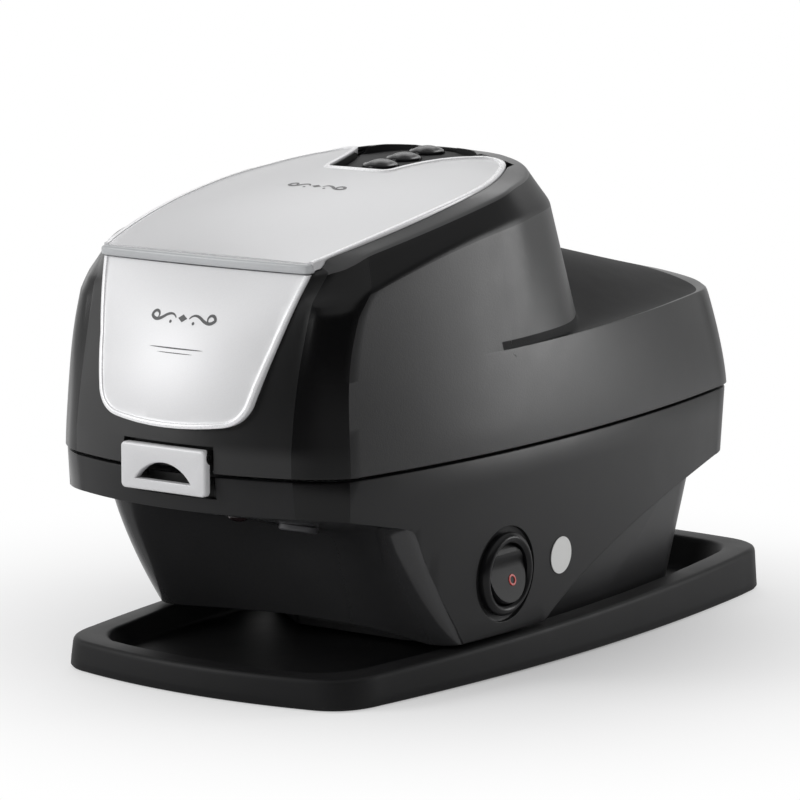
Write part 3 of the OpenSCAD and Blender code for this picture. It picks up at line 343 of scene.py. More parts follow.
def trimmed(mesh, spot, way):
    """Cuts off what lies beyond a plane and closes the cut."""
    result = bmesh.ops.bisect_plane(mesh, geom=whole(mesh), plane_co=spot, plane_no=way, dist=0.0005,
                                    clear_outer=True)
    bmesh.ops.holes_fill(mesh, edges=only(bmesh.types.BMEdge, result["geom_cut"]))
    return mesh


def halved(mesh):
    """Adds the mirror image across the middle plane."""
    bmesh.ops.mirror(mesh, geom=whole(mesh), axis="X", merge_dist=0.002)
    return mesh


def moved(mesh, place):
    for v in mesh.verts:
        v.co = place(v.co)
    return mesh


def turned(mesh, matrix):
    bmesh.ops.transform(mesh, matrix=matrix, verts=mesh.verts)
    return mesh


def joined(first, *others):
    for other in others:
        spare = bpy.data.meshes.new("spare")
        other.to_mesh(spare)
        other.free()
        first.from_mesh(spare)
        bpy.data.meshes.remove(spare)
    return first


def open_line(points):
    """A new mesh that holds one open line, with its points and its edges."""
    mesh = bmesh.new()
    line = [mesh.verts.new(p) for p in points]
    return mesh, line, [mesh.edges.new(pair) for pair in zip(line, line[1:])]


def turned_profile(points, steps=64):
    """A profile of (radius, height) pairs spun round the vertical axis."""
    mesh, line, edges = open_line([(r, 0, z) for r, z in points])
    bmesh.ops.spin(mesh, geom=line + edges, cent=(0, 0, 0), axis=(0, 0, 1), dvec=(0, 0, 0),
                   angle=math.tau, steps=steps, use_merge=True, use_duplicate=False)
    return merged(mesh)


def crosswise(x, y, z):
    """Lays an upright shape along x, with its foot at this point."""
    return Matrix.Translation((x, y, z)) @ Matrix.Rotation(math.pi / 2, 4, "Y")


def rod(r, z0, z1, sides=48, edge=0.0):
    if edge:
        outline = [(0, z0), (r - edge, z0), (r - edge * 0.3, z0 + edge * 0.3), (r, z0 + edge),
                   (r, z1 - edge), (r - edge * 0.3, z1 - edge * 0.3), (r - edge, z1), (0, z1)]
    else:
        outline = [(0, z0), (r, z0), (r, z1), (0, z1)]
    return turned_profile(outline, sides)


def block(x0, x1, y0, y1, z0, z1, edge=0.0):
    mesh = bmesh.new()
    bmesh.ops.create_cube(mesh, size=1)
    for v in mesh.verts:
        v.co = (mix(x0, x1, v.co.x + 0.5), mix(y0, y1, v.co.y + 0.5), mix(z0, z1, v.co.z + 0.5))
    if edge:
        bmesh.ops.bevel(mesh, geom=mesh.edges[:], offset=edge, offset_type="OFFSET", segments=3,
                        profile=0.5, affect="EDGES", material=-1)
    return mesh


def from_node(name):
    """The merged copy of a CAD node, in millimetres."""
    mesh = bmesh.new()
    mesh.from_mesh(CAD[name].data)
    bmesh.ops.scale(mesh, vec=(1 / MM,) * 3, verts=mesh.verts)
    bmesh.ops.remove_doubles(mesh, verts=mesh.verts, dist=0.0008)
    return mesh


def linked(name, data):
    obj = bpy.data.objects.new(name, data)
    bpy.context.scene.collection.objects.link(obj)
    return obj


def as_object(mesh, name, finishes):
    """Ends the work on a mesh and puts it into the scene with these finishes."""
    data = bpy.data.meshes.new(name)
    mesh.to_mesh(data)
    mesh.free()
    for finish in finishes:
        data.materials.append(finish)
    return linked(name, data)


def carved(mesh, *cuts):
    """Applies boolean cuts, each a (how, mesh) pair, and returns the result as a mesh."""
    base = as_object(mesh, "carving", [None] * MOST_SKINS)
    for how, tool in cuts:
        other = as_object(tool, "tool", [None] * MOST_SKINS)
        step = base.modifiers.new("cut", "BOOLEAN")
        step.operation = how
        step.object = other
        for solver in ("MANIFOLD", "EXACT"):
            step.solver = solver
            view = bpy.context.evaluated_depsgraph_get()
            result = bpy.data.meshes.new_from_object(base.evaluated_get(view))
            if len(result.polygons):
                break
        base.modifiers.clear()
        base.data = result
        bpy.data.objects.remove(other)
    out = bmesh.new()
    out.from_mesh(base.data)
    bpy.data.objects.remove(base)
    return out


def part(mesh, name, body, finishes, stands_for, angle=32, keep_skins=False):
    """Puts a mesh drawn in millimetres into the scene as a finished piece."""
    bmesh.ops.scale(mesh, vec=(MM,) * 3, verts=mesh.verts)
    mesh.normal_update()
    limit = math.radians(angle)
    for f in mesh.faces:
        f.smooth = True
        if not keep_skins:
            f.material_index = 0
    for e in mesh.edges:
        e.smooth = len(e.link_faces) == 2 and e.calc_face_angle(0) < limit
    obj = as_object(mesh, name, finishes)
    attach(obj, body)
    if stands_for:
        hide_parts(*stands_for)


# ---------------------------------------------------------------- materials
class Wire:
    """One value inside a finish. Ordinary operators add the maths nodes for it."""

    def __init__(self, tree, socket):
        self.tree = tree
        self.socket = socket

    def _maths(self, operation, *values):
        step = self.tree.nodes.new("ShaderNodeMath")
        step.operation = operation
        for slot, value in zip(step.inputs, values):
            if isinstance(value, Wire):
                self.tree.links.new(value.socket, slot)
            else:
                slot.default_value = value
        return Wire(self.tree, step.outputs[0])

    def __add__(self, other): return self._maths("ADD", self, other)
    def __radd__(self, other): return self._maths("ADD", other, self)
    def __sub__(self, other): return self._maths("SUBTRACT", self, other)
    def __rsub__(self, other): return self._maths("SUBTRACT", other, self)
    def __mul__(self, other): return self._maths("MULTIPLY", self, other)
    def __rmul__(self, other): return self._maths("MULTIPLY", other, self)
    def least(self, other): return self._maths("MINIMUM", self, other)
    def most(self, other): return self._maths("MAXIMUM", self, other)


class Finish:
    """The nodes of a material, or of the world, while they are being laid."""

    def __init__(self, name, library=bpy.data.materials):
        self.owner = library.new(name)
        self.owner.use_nodes = True
        self.tree = self.owner.node_tree
        self.tree.nodes.clear()
        self.place = self.node("ShaderNodeTexCoord", out="Object")

    def node(self, kind, inputs=None, out=0, **settings):
        step = self.tree.nodes.new(kind)
        for key, value in settings.items():
            setattr(step, key, value)
        for key, value in (inputs or {}).items():
            if isinstance(value, Wire):
                self.tree.links.new(value.socket, step.inputs[key])
            else:
                step.inputs[key].default_value = value
        return Wire(self.tree, step.outputs[out]) if len(step.outputs) else None

    def noise(self, size, detail=3.0, rough=0.5, stretch=None):
        """Noise whose features are about size millimetres across, from 0 to 1."""
        spot = self.place
        if stretch:
            spot = self.node("ShaderNodeMapping", {"Vector": spot, "Scale": stretch})
        return self.node("ShaderNodeTexNoise", {"Vector": spot, "Scale": 1000 / size, "Detail": detail,
                                                "Roughness": rough})

    def cells(self, size, out="Distance"):
        return self.node("ShaderNodeTexVoronoi", {"Vector": self.place, "Scale": 1000 / size}, out=out)

    def ranged(self, value, low, high):
        """Rises smoothly from 0 to 1 while the value goes from low to high."""
        return self.node("ShaderNodeMapRange", {0: value, 1: low, 2: high}, interpolation_type="SMOOTHSTEP")

    def shade(self, amount, dark, light):
        return self.node("ShaderNodeMix", {0: amount, 6: (*dark, 1), 7: (*light, 1)}, out=2,
                         data_type="RGBA")

    def rounded_normal(self, radius):
        return self.node("ShaderNodeBevel", {"Radius": radius * MM}, samples=4)

    def bumped(self, height, depth, normal):
        return self.node("ShaderNodeBump", {"Height": height, "Distance": depth * MM, "Strength": 1.0,
                                            "Normal": normal})

    def done(self, colour, rough, normal, **fixed):
        inputs = {"Base Color": colour, "Roughness": rough, "Normal": normal}
        inputs.update({key.replace("_", " "): value for key, value in fixed.items()})
        self.node("ShaderNodeOutputMaterial", {"Surface": self.node("ShaderNodeBsdfPrincipled", inputs)})
        return self.owner


def moulded(name, colour, rough, grain=0.6, depth=0.02, spread=0.12, shine=0.06, edge=0.35, handled=0.0,
            pebbled=False, **fixed):
    """Moulded plastic: a grain of its own size, faint flow shading, and edges that catch the light."""
    f = Finish(name)
    flow = f.noise(38, 2.0)
    fine = f.noise(grain, 2.0, 0.6)
    smudge = f.noise(9, 3.0, 0.6)
    dark = tuple(c * (1 - spread) for c in colour)
    light = tuple(c * (1 + spread) for c in colour)
    tone = f.shade(f.ranged(flow * 0.75 + fine * 0.25, 0.3, 0.7), dark, light)
    rounded = f.rounded_normal(edge)
    if pebbled:
        cells = f.cells(grain * 1.4)
        height = f.ranged(cells, 0.0, 0.7) * 0.7 + fine * 0.5
    else:
        height = fine
    gloss = rough + (smudge - 0.5) * shine + (fine - 0.5) * shine
    if handled:
        gloss = gloss - f.ranged(f.noise(22, 2.0), 0.5, 0.8) * handled
    return f.done(tone, gloss, f.bumped(height, depth, rounded), **fixed)


def strip_finish():
    """The band under the brow: glossy and dark in front, grained like the sides at the back."""
    f = Finish("strip_black")
    back = f.ranged(f.node("ShaderNodeSeparateXYZ", {0: f.place}, out="Y"), -0.075, -0.005)
    fine = f.noise(0.5, 2.0, 0.6)
    smudge = f.noise(9, 3.0, 0.6)
    tone = f.shade(back, (0.0035, 0.0035, 0.0038), (0.014, 0.014, 0.0145))
    rough = 0.30 + back * 0.12 + (smudge - 0.5) * 0.05 + (fine - 0.5) * 0.05
    return f.done(tone, rough, f.bumped(fine * back, 0.012, f.rounded_normal(0.4)), Specular_IOR_Level=0.25)


def metal(name, colour, rough, brush):
    """Bare metal with fine tool marks."""
    f = Finish(name)
    marks = f.noise(0.35, 2.0, 0.6, stretch=brush)
    stain = f.noise(7, 2.0)
    tone = f.shade(f.ranged(marks * 0.6 + stain * 0.4, 0.3, 0.75), tuple(c * 0.8 for c in colour), colour)
    return f.done(tone, rough + (marks - 0.5) * 0.16 + (stain - 0.5) * 0.08,
                  f.bumped(marks, 0.008, f.rounded_normal(0.12)), Metallic=1.0)


def silver_finish(name, base, rough, edge=0.3):
    """Satin silver coating: tiny bright flakes under a soft sheen."""
    f = Finish(name)
    flake = f.cells(0.22, "Color")
    bright = f.node("ShaderNodeSeparateColor", {0: flake}, out=0)
    cloud = f.noise(30, 2.0)
    tone = f.shade(f.ranged(bright * 0.4 + cloud * 0.6, 0.15, 0.85), tuple(c * 0.96 for c in base), base)
    fine = f.noise(0.5, 2.0, 0.6)
    return f.done(tone, rough + (bright - 0.5) * 0.08 + (cloud - 0.5) * 0.06,
                  f.bumped(fine, 0.006, f.rounded_normal(edge)), Metallic=0.12, Specular_IOR_Level=0.35)


SIDE_BLACK = moulded("side_black", (0.014, 0.014, 0.0145), 0.35, 0.38, 0.011, pebbled=True, shine=0.08,
                     Specular_IOR_Level=0.38)
BAND_BLACK = moulded("band_black", (0.0026, 0.0026, 0.0028), 0.24, 0.5, 0.002, shine=0.04,
                     Specular_IOR_Level=0.3)
FRONT_BLACK = moulded("front_black", (0.007, 0.007, 0.0073), 0.30, 0.5, 0.003, shine=0.05,
                      Specular_IOR_Level=0.5)
STRIP_BLACK = strip_finish()
DECK_BLACK = moulded("deck_black", (0.013, 0.013, 0.0135), 0.60, 0.38, 0.012, pebbled=True, shine=0.08,
                     Specular_IOR_Level=0.10)
# The margin round the lid is the cover's black plastic with its base colour painted several times lighter:
# painted light on the upward-facing margin
MARGIN_BLACK_PAINTED_LIGHTER = moulded("margin_black_painted_lighter", (0.052, 0.052, 0.053), 0.40, 0.5, 0.012, shine=0.08,
                       Specular_IOR_Level=0.5)
BODY_BLACK = moulded("body_black", (0.011, 0.011, 0.0115), 0.36, 0.35, 0.006, handled=0.04,
                     Specular_IOR_Level=0.25)
# The neck's black is painted lighter than the body's: a painted reflection of the pale floor across the shaded
# hollow
NECK_BLACK_PAINTED_REFLECTION = moulded("neck_black_painted_reflection", (0.028, 0.028, 0.029), 0.17, 0.8, 0.003, shine=0.04)
TRAY_BLACK = moulded("tray_black", (0.009, 0.009, 0.0095), 0.50, 0.4, 0.012, handled=0.05,
                     Specular_IOR_Level=0.18)
FOOT_BLACK = moulded("foot_black", (0.018, 0.018, 0.019), 0.36, 0.45, 0.01, Specular_IOR_Level=0.4)
INSIDE_BLACK = moulded("inside_black", (0.008, 0.008, 0.008), 0.5, 0.7, 0.012, Specular_IOR_Level=0.3)
CONTROL_BLACK = moulded("control_black", (0.012, 0.012, 0.0125), 0.58, 0.4, 0.012, Specular_IOR_Level=0.1)
BUTTON_BLACK = moulded("button_black", (0.004, 0.004, 0.0045), 0.20, 0.6, 0.0008, shine=0.03, edge=0.15,
                       Specular_IOR_Level=0.2)
SWITCH_BLACK = moulded("switch_black", (0.005, 0.005, 0.0055), 0.30, 0.4, 0.002, shine=0.05, edge=0.2,
                       Specular_IOR_Level=0.25)
ROCKER_BLACK = moulded("rocker_black", (0.009, 0.009, 0.0095), 0.42, 0.4, 0.003, shine=0.05, edge=0.2,
                       Specular_IOR_Level=0.15)
# One silver in two copies: the front plate's base is painted lighter and the lid's darker, painted light and
# shade for how the lamps fall on each
SILVER_PAINTED_LIGHTER = silver_finish("silver_panel", (0.72, 0.72, 0.73), 0.42)
SILVER_LID_PAINTED_DARKER = silver_finish("silver_lid_painted_darker", (0.58, 0.58, 0.59), 0.33)
# A still lighter copy of the same silver for the raised rims: a painted highlight along them
SILVER_RIM_PAINTED_HIGHLIGHT = silver_finish("silver_rim_painted_highlight", (0.84, 0.84, 0.85), 0.30, 0.2)
LIP_GREY = moulded("lip_grey", (0.46, 0.47, 0.48), 0.26, 0.5, 0.003, spread=0.04, shine=0.05, edge=0.3,
                   Specular_IOR_Level=0.35)
LATCH_SILVER = silver_finish("latch_silver", (0.66, 0.66, 0.67), 0.38, 0.35)
NOZZLE_GREY = moulded("nozzle_grey", (0.10, 0.10, 0.105), 0.30, 0.5, 0.004, edge=0.3)
LENS_DARK = moulded("lens_dark", (0.020, 0.012, 0.013), 0.08, 0.6, 0.0006, shine=0.02, edge=0.1,
                    Coat_Weight=0.8, Coat_Roughness=0.05)
STICKER_WHITE = moulded("sticker_white", (0.66, 0.66, 0.65), 0.5, 0.25, 0.004, spread=0.02, shine=0.04,
                        edge=0.05)
MARK_RED = moulded("mark_red", (0.42, 0.020, 0.012), 0.35, 0.3, 0.003, edge=0.05)
PRINT_GREY = moulded("print_grey", (0.055, 0.055, 0.058), 0.45, 0.3, 0.003, edge=0.03)
GREY_PLASTIC = moulded("grey_plastic", (0.20, 0.20, 0.21), 0.42, 0.5, 0.01)
RUBBER = moulded("dark_rubber", (0.030, 0.030, 0.030), 0.72, 0.8, 0.02)
TANK_PLASTIC = moulded("tank_plastic", (0.62, 0.66, 0.68), 0.3, 0.8, 0.006, spread=0.04)
CHAMBER_PLASTIC = moulded("chamber_plastic", (0.60, 0.60, 0.57), 0.42, 0.6, 0.01, spread=0.05)
SILICONE = moulded("silicone", (0.58, 0.60, 0.62), 0.48, 0.6, 0.008, spread=0.05)
STEEL = metal("steel", (0.62, 0.62, 0.64), 0.28, (1, 4, 1))
ALUMINIUM = metal("aluminium", (0.72, 0.72, 0.74), 0.36, (5, 1, 1))
MOTOR_STEEL = metal("motor_steel", (0.55, 0.56, 0.58), 0.34, (1, 1, 8))


def board_finish():
    f = Finish("board_green")
    tracks = f.node("ShaderNodeTexBrick", {"Vector": f.place, "Scale": 260.0, "Mortar Size": 0.06,
                                           "Color1": (1, 1, 1, 1), "Color2": (0.7, 0.7, 0.7, 1),
                                           "Mortar": (0, 0, 0, 1)})
    weave = f.noise(0.4, 2.0)
    amount = f.node("ShaderNodeSeparateColor", {0: tracks}, out=0)
    tone = f.shade(f.ranged(amount, 0.2, 0.9), (0.16, 0.30, 0.10), (0.018, 0.12, 0.045))
    return f.done(tone, 0.32 + weave * 0.12, f.bumped(amount, 0.02, f.rounded_normal(0.1)))


def winding_finish():
    f = Finish("winding")
    turns = f.node("ShaderNodeTexWave", {"Vector": f.place, "Scale": 900.0, "Distortion": 0.4},
                   bands_direction="Z", out="Fac")
    tone = f.shade(turns, (0.22, 0.12, 0.03), (0.55, 0.36, 0.12))
    return f.done(tone, 0.38 + turns * 0.1, f.bumped(turns, 0.05, f.rounded_normal(0.2)), Metallic=0.6)


BOARD = board_finish()
WINDING = winding_finish()

CAD_FINISHES = {
    "tray_pads": RUBBER, "base_plate": FOOT_BLACK, "base_feet": RUBBER, "base_screws": STEEL,
    "chassis": GREY_PLASTIC, "button_board": BOARD, "lid_seal": RUBBER, "lid_hinge_blocks": GREY_PLASTIC,
    "lid_pins": STEEL, "lid_hinge_brackets": GREY_PLASTIC, "latch_pin": STEEL,
    "latch_bracket": INSIDE_BLACK, "latch_keeper": INSIDE_BLACK, "rear_hinge_lower": BODY_BLACK,
    "rear_hinge_upper": BODY_BLACK, "rear_hinge_pin": STEEL, "sensor_board": BOARD,
    "heater_block": ALUMINIUM, "thermostat": CHAMBER_PLASTIC, "outlet_hose": SILICONE,
    "soap_tank": TANK_PLASTIC, "foam_chamber": CHAMBER_PLASTIC, "chamber_lid": CHAMBER_PLASTIC,
    "beater": ALUMINIUM, "motor": MOTOR_STEEL, "feed_hose": SILICONE, "power_board": BOARD,
    "transformer": WINDING, "power_inlet": SWITCH_BLACK,
}
for name, finish in CAD_FINISHES.items():
    data = CAD[name].data
    data.materials.clear()
    data.materials.append(finish)


# ---------------------------------------------------------------- outlines
def curve(a, b, c, count):
    """Points on a curve from a towards b and on to c, without a itself."""
    return [bezier(a, b, c, k / count) for k in range(1, count + 1)]


def lid_outline():
    side = [(lid_half_x(y), y) for y in (LID_FRONT + 2.2 + k * (88.4 / 40) for k in range(41))]
    points = [(0, LID_FRONT), (12, LID_FRONT), (24, LID_FRONT), (33.2, LID_FRONT)]
    points += curve((33.2, LID_FRONT), (35.2, LID_FRONT), side[0], 4)[:-1]
    points += side + [(32, -3.5)]
    points += curve((32, -3.5), (29, 3.5), (22.5, 1), 12)
    points += curve((22.5, 1), (21, 0.2), (19.8, -2.2), 4)
    points += curve((19.8, -2.2), (13.5, -12), (10.6, NOTCH_Y + 2.4), 14)
    points += curve((10.6, NOTCH_Y + 2.4), (9.9, NOTCH_Y), (7.6, NOTCH_Y), 5)
    points += [(4, NOTCH_Y - 0.3), (0, NOTCH_Y - 0.4)]
    return mirrored(points)


def control_outline():
    points = [(0, NOTCH_Y), (4, NOTCH_Y + 0.1), (7.2, NOTCH_Y + 0.4)]
    points += curve((7.2, NOTCH_Y + 0.4), (9.2, NOTCH_Y + 0.6), (9.8, NOTCH_Y + 2.6), 5)
    points += curve((9.8, NOTCH_Y + 2.6), (13, -12), (19.4, -2.1), 14)
    points += curve((19.4, -2.1), (20.4, -0.6), (19.6, 0.4), 4)
    points += curve((19.6, 0.4), (14.5, 8.6), (0, 9.5), 14)
    return mirrored(points)


def fascia_half_x(z):
    return 24.3 + 0.27 * (z - 76)


def fascia_outline():
    """Right half from the bottom upwards, as width against height; the lip hides the top."""
    points = [(0, 73.2), (5, 73.3), (10, 73.6), (15, 74.1)]
    points += [(18, 74.5)] + curve((18, 74.5), (23.6, 75.4), (fascia_half_x(80.5), 80.5), 10)
    points += [(fascia_half_x(z), z) for z in (85, 90, 95, 100, 105, 110, 114.3, 118)]
    points += [(20, 118), (10, 118), (0, 118)]
    return mirrored(points)


def prism(points, z0, z1):
    return moulding(points, z0, [(0, z1)])


def on_top(mesh):
    """Lays a flat piece, drawn on z = 0, onto the curved top."""
    return moved(mesh, lambda p: (p.x, p.y, p.z + top_z(p.x, p.y)))


def on_front(mesh):
    """Stands a flat piece up against the front: y becomes the height, z the way out."""
    return moved(mesh, lambda p: (p.x, front_y(p.x, p.y) - p.z, p.y))


def slab(outline, high, low, step=3.0):
    """A piece of slab that follows the top, between two heights measured from it."""
    return on_top(diced(prism(outline, low, high), step))


# ---------------------------------------------------------------- the upper cover
STATION_STEP = 0.25
STATIONS = [k * STATION_STEP for k in range(129)]
INSET_SHARES = {"wall": (1, 0), "ridge": (1, 1), "deck": (0, 1), "foot": (1, 0.8), "head": (1, 0.15),
                "shoulder": (0.9, 0.5), "brow": (0.7, 0.8), "lid": (0.3, 1), "cap": (0, 1)}


def section(s):
    """One upright section of the skin at s: (kind, point) pairs from the seam to the spine."""
    rows = [("wall", (*wall_point(s, 0.0)[:2], COVER_FOOT))]
    rows += [("wall", wall_point(s, t)) for t in [0.03] + [k / 12 for k in range(1, 12)]]
    rows += [("ridge", ridge_point(s))]
    rows += [("deck", deck_point(s, k / 12)) for k in range(1, 12)]
    rows += [("foot", foot_point(s))]
    rows += [("head", head_point(s, k / 14)) for k in range(1, 14)]
    rows += [("shoulder", shoulder_point(s))]
    brow = brow_point(s)
    rows += [("shoulder", tuple(mix(a, b, t) for a, b in zip(shoulder_point(s), brow))) for t in (0.35, 0.7)]
    rows += [("brow", brow)]
    rows += [("brow", tuple(mix(a, b, t) for a, b in zip(brow, lid_point(s)))) for t in (0.33, 0.66)]
    rows += [("lid", lid_point(s))]
    rows += [("cap", cap_point(s, k / 10)) for k in range(1, 11)]
    return rows


def rounded_creases(rows, reaches):
    """Replaces each named crease by a short curve."""
    out = []
    for k, (kind, p) in enumerate(rows):
        reach = reaches.get(k)
        if not reach:
            out.append((kind, p))
            continue
        p, before, after = Vector(p), Vector(rows[k - 1][1]), Vector(rows[k + 1][1])
        a = p + (before - p) * min(reach / max((before - p).length, 1e-6), 0.48)
        b = p + (after - p) * min(reach / max((after - p).length, 1e-6), 0.48)
        out += [(kind, bezier(a, p, b, t)) for t in (0, 0.25, 0.5, 0.75, 1)]
    return out


def averaged(rows, spread):
    """Evens a row of points out; spread gives the reach at each of them, in stations."""
    out = []
    for k, p in enumerate(rows):
        reach = int(spread[k] / STATION_STEP)
        if reach < 1:
            out.append(p)
            continue
        total, weight = Vector((0, 0, 0)), 0.0
        for j in range(-reach, reach + 1):
            share = 1 - abs(j) / (reach + 1)
            at = k + j
            q = Vector(rows[-at] if at < 0 else rows[at])
            if at < 0:
                q.x = -q.x
            total, weight = total + q * share, weight + share
        out.append(tuple(total / weight))
    return out


def softened_sections():
    """The skin's sections, with the head evened out round its corners and up its sides."""
    kinds = [kind for kind, p in section(16)]
    columns = [[p for kind, p in section(s)] for s in STATIONS]
    first, foot, ridge, shoulder = (kinds.index(kind) for kind in ("head", "foot", "ridge", "shoulder"))
    for row in range(ridge, len(kinds)):
        reaches = []
        for s in STATIONS:
            rear = clamp((s - 11) / 4, 0, 1) * clamp((31 - s) / 4, 0, 1) * (3.0 if row >= foot else 1.2)
            nose = clamp(1 - abs(s - 6.2) / 2.2, 0, 1) * 1.6 if row >= shoulder else 0
            reaches.append(max(rear, nose))
        line = averaged([column[row] for column in columns], reaches)
        for column, p in zip(columns, line):
            column[row] = p
    # in front of the deck the ridge is only a soft bend, from the wall straight into the head
    for s, column in zip(STATIONS, columns):
        amount = clamp((13.5 - s) / 2, 0, 1)
        if amount == 0:
            continue
        chain = [*range(4, ridge + 1), *range(first, first + 10)]
        line = [Vector(column[k]) for k in chain]
        for turn in range(60):
            evened = [mid * 0.5 + (a + b) * 0.25 for a, mid, b in zip(line, line[1:], line[2:])]
            line = [line[0], *evened, line[-1]]
        for k, p in zip(chain, line):
            old = Vector(column[k])
            column[k] = (mix(old.x, p.x, amount), mix(old.y, p.y, amount), mix(old.z, p.z, amount))
        for k in range(ridge + 1, first):
            column[k] = tuple(mix(a, b, amount) for a, b in zip(column[k], column[ridge]))
    return [list(zip(kinds, column)) for column in columns]


ROWS = [kind for kind, p in section(16)]
CREASES = {ROWS.index("ridge"): 0.9, ROWS.index("foot"): 1.6, ROWS.index("shoulder"): 1.5,
           ROWS.index("brow"): 0.7}
KINDS = [kind for kind, p in rounded_creases(section(16), CREASES)]


def cover_sections(depth):
    """Sections of the skin, or of the inner wall when depth isn't 0."""
    sections = [rounded_creases(rows, CREASES) for rows in softened_sections()]
    if depth == 0:
        return [[p for kind, p in rows] for rows in sections]
    out = []
    for j, rows in enumerate(sections):
        before, after = sections[max(j - 1, 0)], sections[min(j + 1, len(sections) - 1)]
        moved_rows = []
        for r, (kind, p) in enumerate(rows):
            a, b = before[r][1], after[r][1]
            way = Vector((b[1] - a[1], a[0] - b[0]))
            if j == 0:
                way = Vector((0, -1))
            elif j == len(sections) - 1:
                way = Vector((0, 1))
            way = way.normalized() if way.length > 1e-6 else Vector((0, 0))
            out_share, down_share = INSET_SHARES[kind]
            moved_rows.append((max(p[0] - way.x * depth * out_share, 0), p[1] - way.y * depth * out_share,
                               p[2] - depth * down_share))
        out.append(moved_rows)
    return out


COVER_SKINS = [SIDE_BLACK, BAND_BLACK, MARGIN_BLACK_PAINTED_LIGHTER, STRIP_BLACK, FRONT_BLACK, DECK_BLACK]


def cover_skin(s, row):
    """The finish of the cover between two sections and two rows."""
    brow = KINDS.index("brow")
    if row < brow and FRONT_END <= s < CORNER_END:
        return BAND_BLACK
    if KINDS.index("shoulder") <= row < brow and s >= CORNER_END:
        return STRIP_BLACK
    if s < FRONT_END:
        return FRONT_BLACK
    if brow <= row < KINDS.index("lid"):
        return MARGIN_BLACK_PAINTED_LIGHTER
    if KINDS.index("deck") <= row < KINDS.index("head") and s > DECK_S:
        return DECK_BLACK
    return SIDE_BLACK


def cover_body(depth, foot_z=None, skins=False):
    """The cover's outside as a solid, or with a depth the solid inside its wall."""
    sections = cover_sections(depth)
    if foot_z is not None:
        for rows in sections:
            rows[0] = (rows[0][0], rows[0][1], foot_z)
    across, along = len(sections) - 1, len(sections[0]) - 1
    mesh = drape(across, along, lambda u, v: sections[round(u * across)][round(v * along)])
    if skins:
        for f in mesh.faces:
            spots = [divmod(v.index, across + 1) for v in f.verts]
            column, row = min(c for r, c in spots), min(r for r, c in spots)
            f.material_index = COVER_SKINS.index(cover_skin(STATIONS[column], row))
    return capped(halved(mesh))


def latch_room():
    return block(-15.1, 15.1, -125, LATCH_BACK, LATCH_Z - 7, LATCH_Z + 7)


def button_spot(k):
    """Where button k stands on the tilted control panel; 0 is the middle one."""
    return (Matrix.Translation((0, -7, top_z(0, -7) - 2)) @ Matrix.Rotation(math.radians(PANEL_TILT), 4, "X")
            @ Matrix.Translation((0, k * BUTTON_PITCH, 0)))


def bar(a, b, r):
    """A round-ended stiffening bar between two points."""
    a, b = Vector(a), Vector(b)
    length = (b - a).length
    ends = arc(0, 0, r, 270, 360, 5) + [(x, length + y) for x, y in arc(0, 0, r, 0, 90, 5)]
    mesh = turned_profile([(max(x, 0), y) for x, y in ends], 16)
    return turned(mesh, Matrix.Translation(a) @ (b - a).to_track_quat("Z", "Y").to_matrix().to_4x4())


def swung_tips(turn):
    """The space that the lid's rear tips sweep through when it has opened by this angle."""
    tips = trimmed(slab(grown(lid_outline(), REVEAL), 0.8, -(2 + REVEAL)), (0, -9, 0), (0, -1, 0))
    axis = Matrix.Translation((0, LID_AXIS[0], LID_AXIS[1]))
    return turned(tips, axis @ Matrix.Rotation(math.radians(-turn), 4, "X") @ axis.inverted())


def make_cover():
    lid, control = lid_outline(), control_outline()
    ledge = carved(slab(grown(lid, 2.5), 0.6 - WALL, -5.6),
                   ("UNION", slab(grown(control, 1), 0.6 - WALL, -5.6)),
                   ("INTERSECT", cover_body(0.6, 54)))
    seat = block(-18, 18, -110, -107.6, COVER_FOOT, COVER_FOOT + 9)
    posts = [turned(rod(2, -13, -3.4, 24), button_spot(0) @ Matrix.Translation((x, y, 0)))
             for x in (-10.5, 10.5) for y in (-16, 14)]
    mouth = carved(prism(grown(lid, -3.5), 100, 160),
                   ("DIFFERENCE", block(-60, 60, NOTCH_Y - 3.5, 40, 90, 170)))
    plate_pocket = trimmed(prism(grown(fascia_outline(), 0.18), -1.25, 6), (0, PLATE_TOP, 0), (0, 1, 0))
    holes = [
        slab(grown(lid, REVEAL), 14, -(2 + REVEAL), 2.2),
        mouth,
        block(-35.6, 35.6, -110, -94, 114.3, 124.3),
        slab(grown(control, 0.1), 14, -3.9, 2.2),
        block(-7, 7, -24.5, 10, 110, 170),
        on_front(diced(plate_pocket, 2.5)),
        block(21.2, 29.8, -2, 2.4, 129, 134),
        block(-29.8, -21.2, -2, 2.4, 129, 134),
        latch_room(),
        block(-21, 21, 107.6, 116, COVER_FOOT - 1, COVER_FOOT + 9.4),
        *[swung_tips(turn) for turn in (14, 28, 42, 56, 70)],
    ]
    mesh = carved(cover_body(0, skins=True), ("DIFFERENCE", cover_body(WALL, 54)),
                  *[("UNION", piece) for piece in (ledge, seat, *posts)],
                  *[("DIFFERENCE", hole) for hole in holes])
    part(mesh, "cover_shell", "cover", COVER_SKINS, ["upper_cover"], 30, keep_skins=True)


# ---------------------------------------------------------------- lid, lip, fascia and control panel
def rim_steps(drop, height, width, round_r):
    """A raised rim round a panel: up, over and down to the field."""
    c = round_r
    return [(0, height - c), (c * 0.3, height - c * 0.3), (c, height), (width - c, height),
            (width - c * 0.3, height - c * 0.3), (width, height - c), (width + 0.25, drop + 0.06),
            (width + 0.6, drop)]


# Faces above the field, the raised rim, take slot 1: the lighter silver that paints a highlight along the rim
def rim_painted_highlight(mesh, above):
    for f in mesh.faces:
        f.material_index = 1 if min(v.co.z for v in f.verts) > above else 0
    return mesh


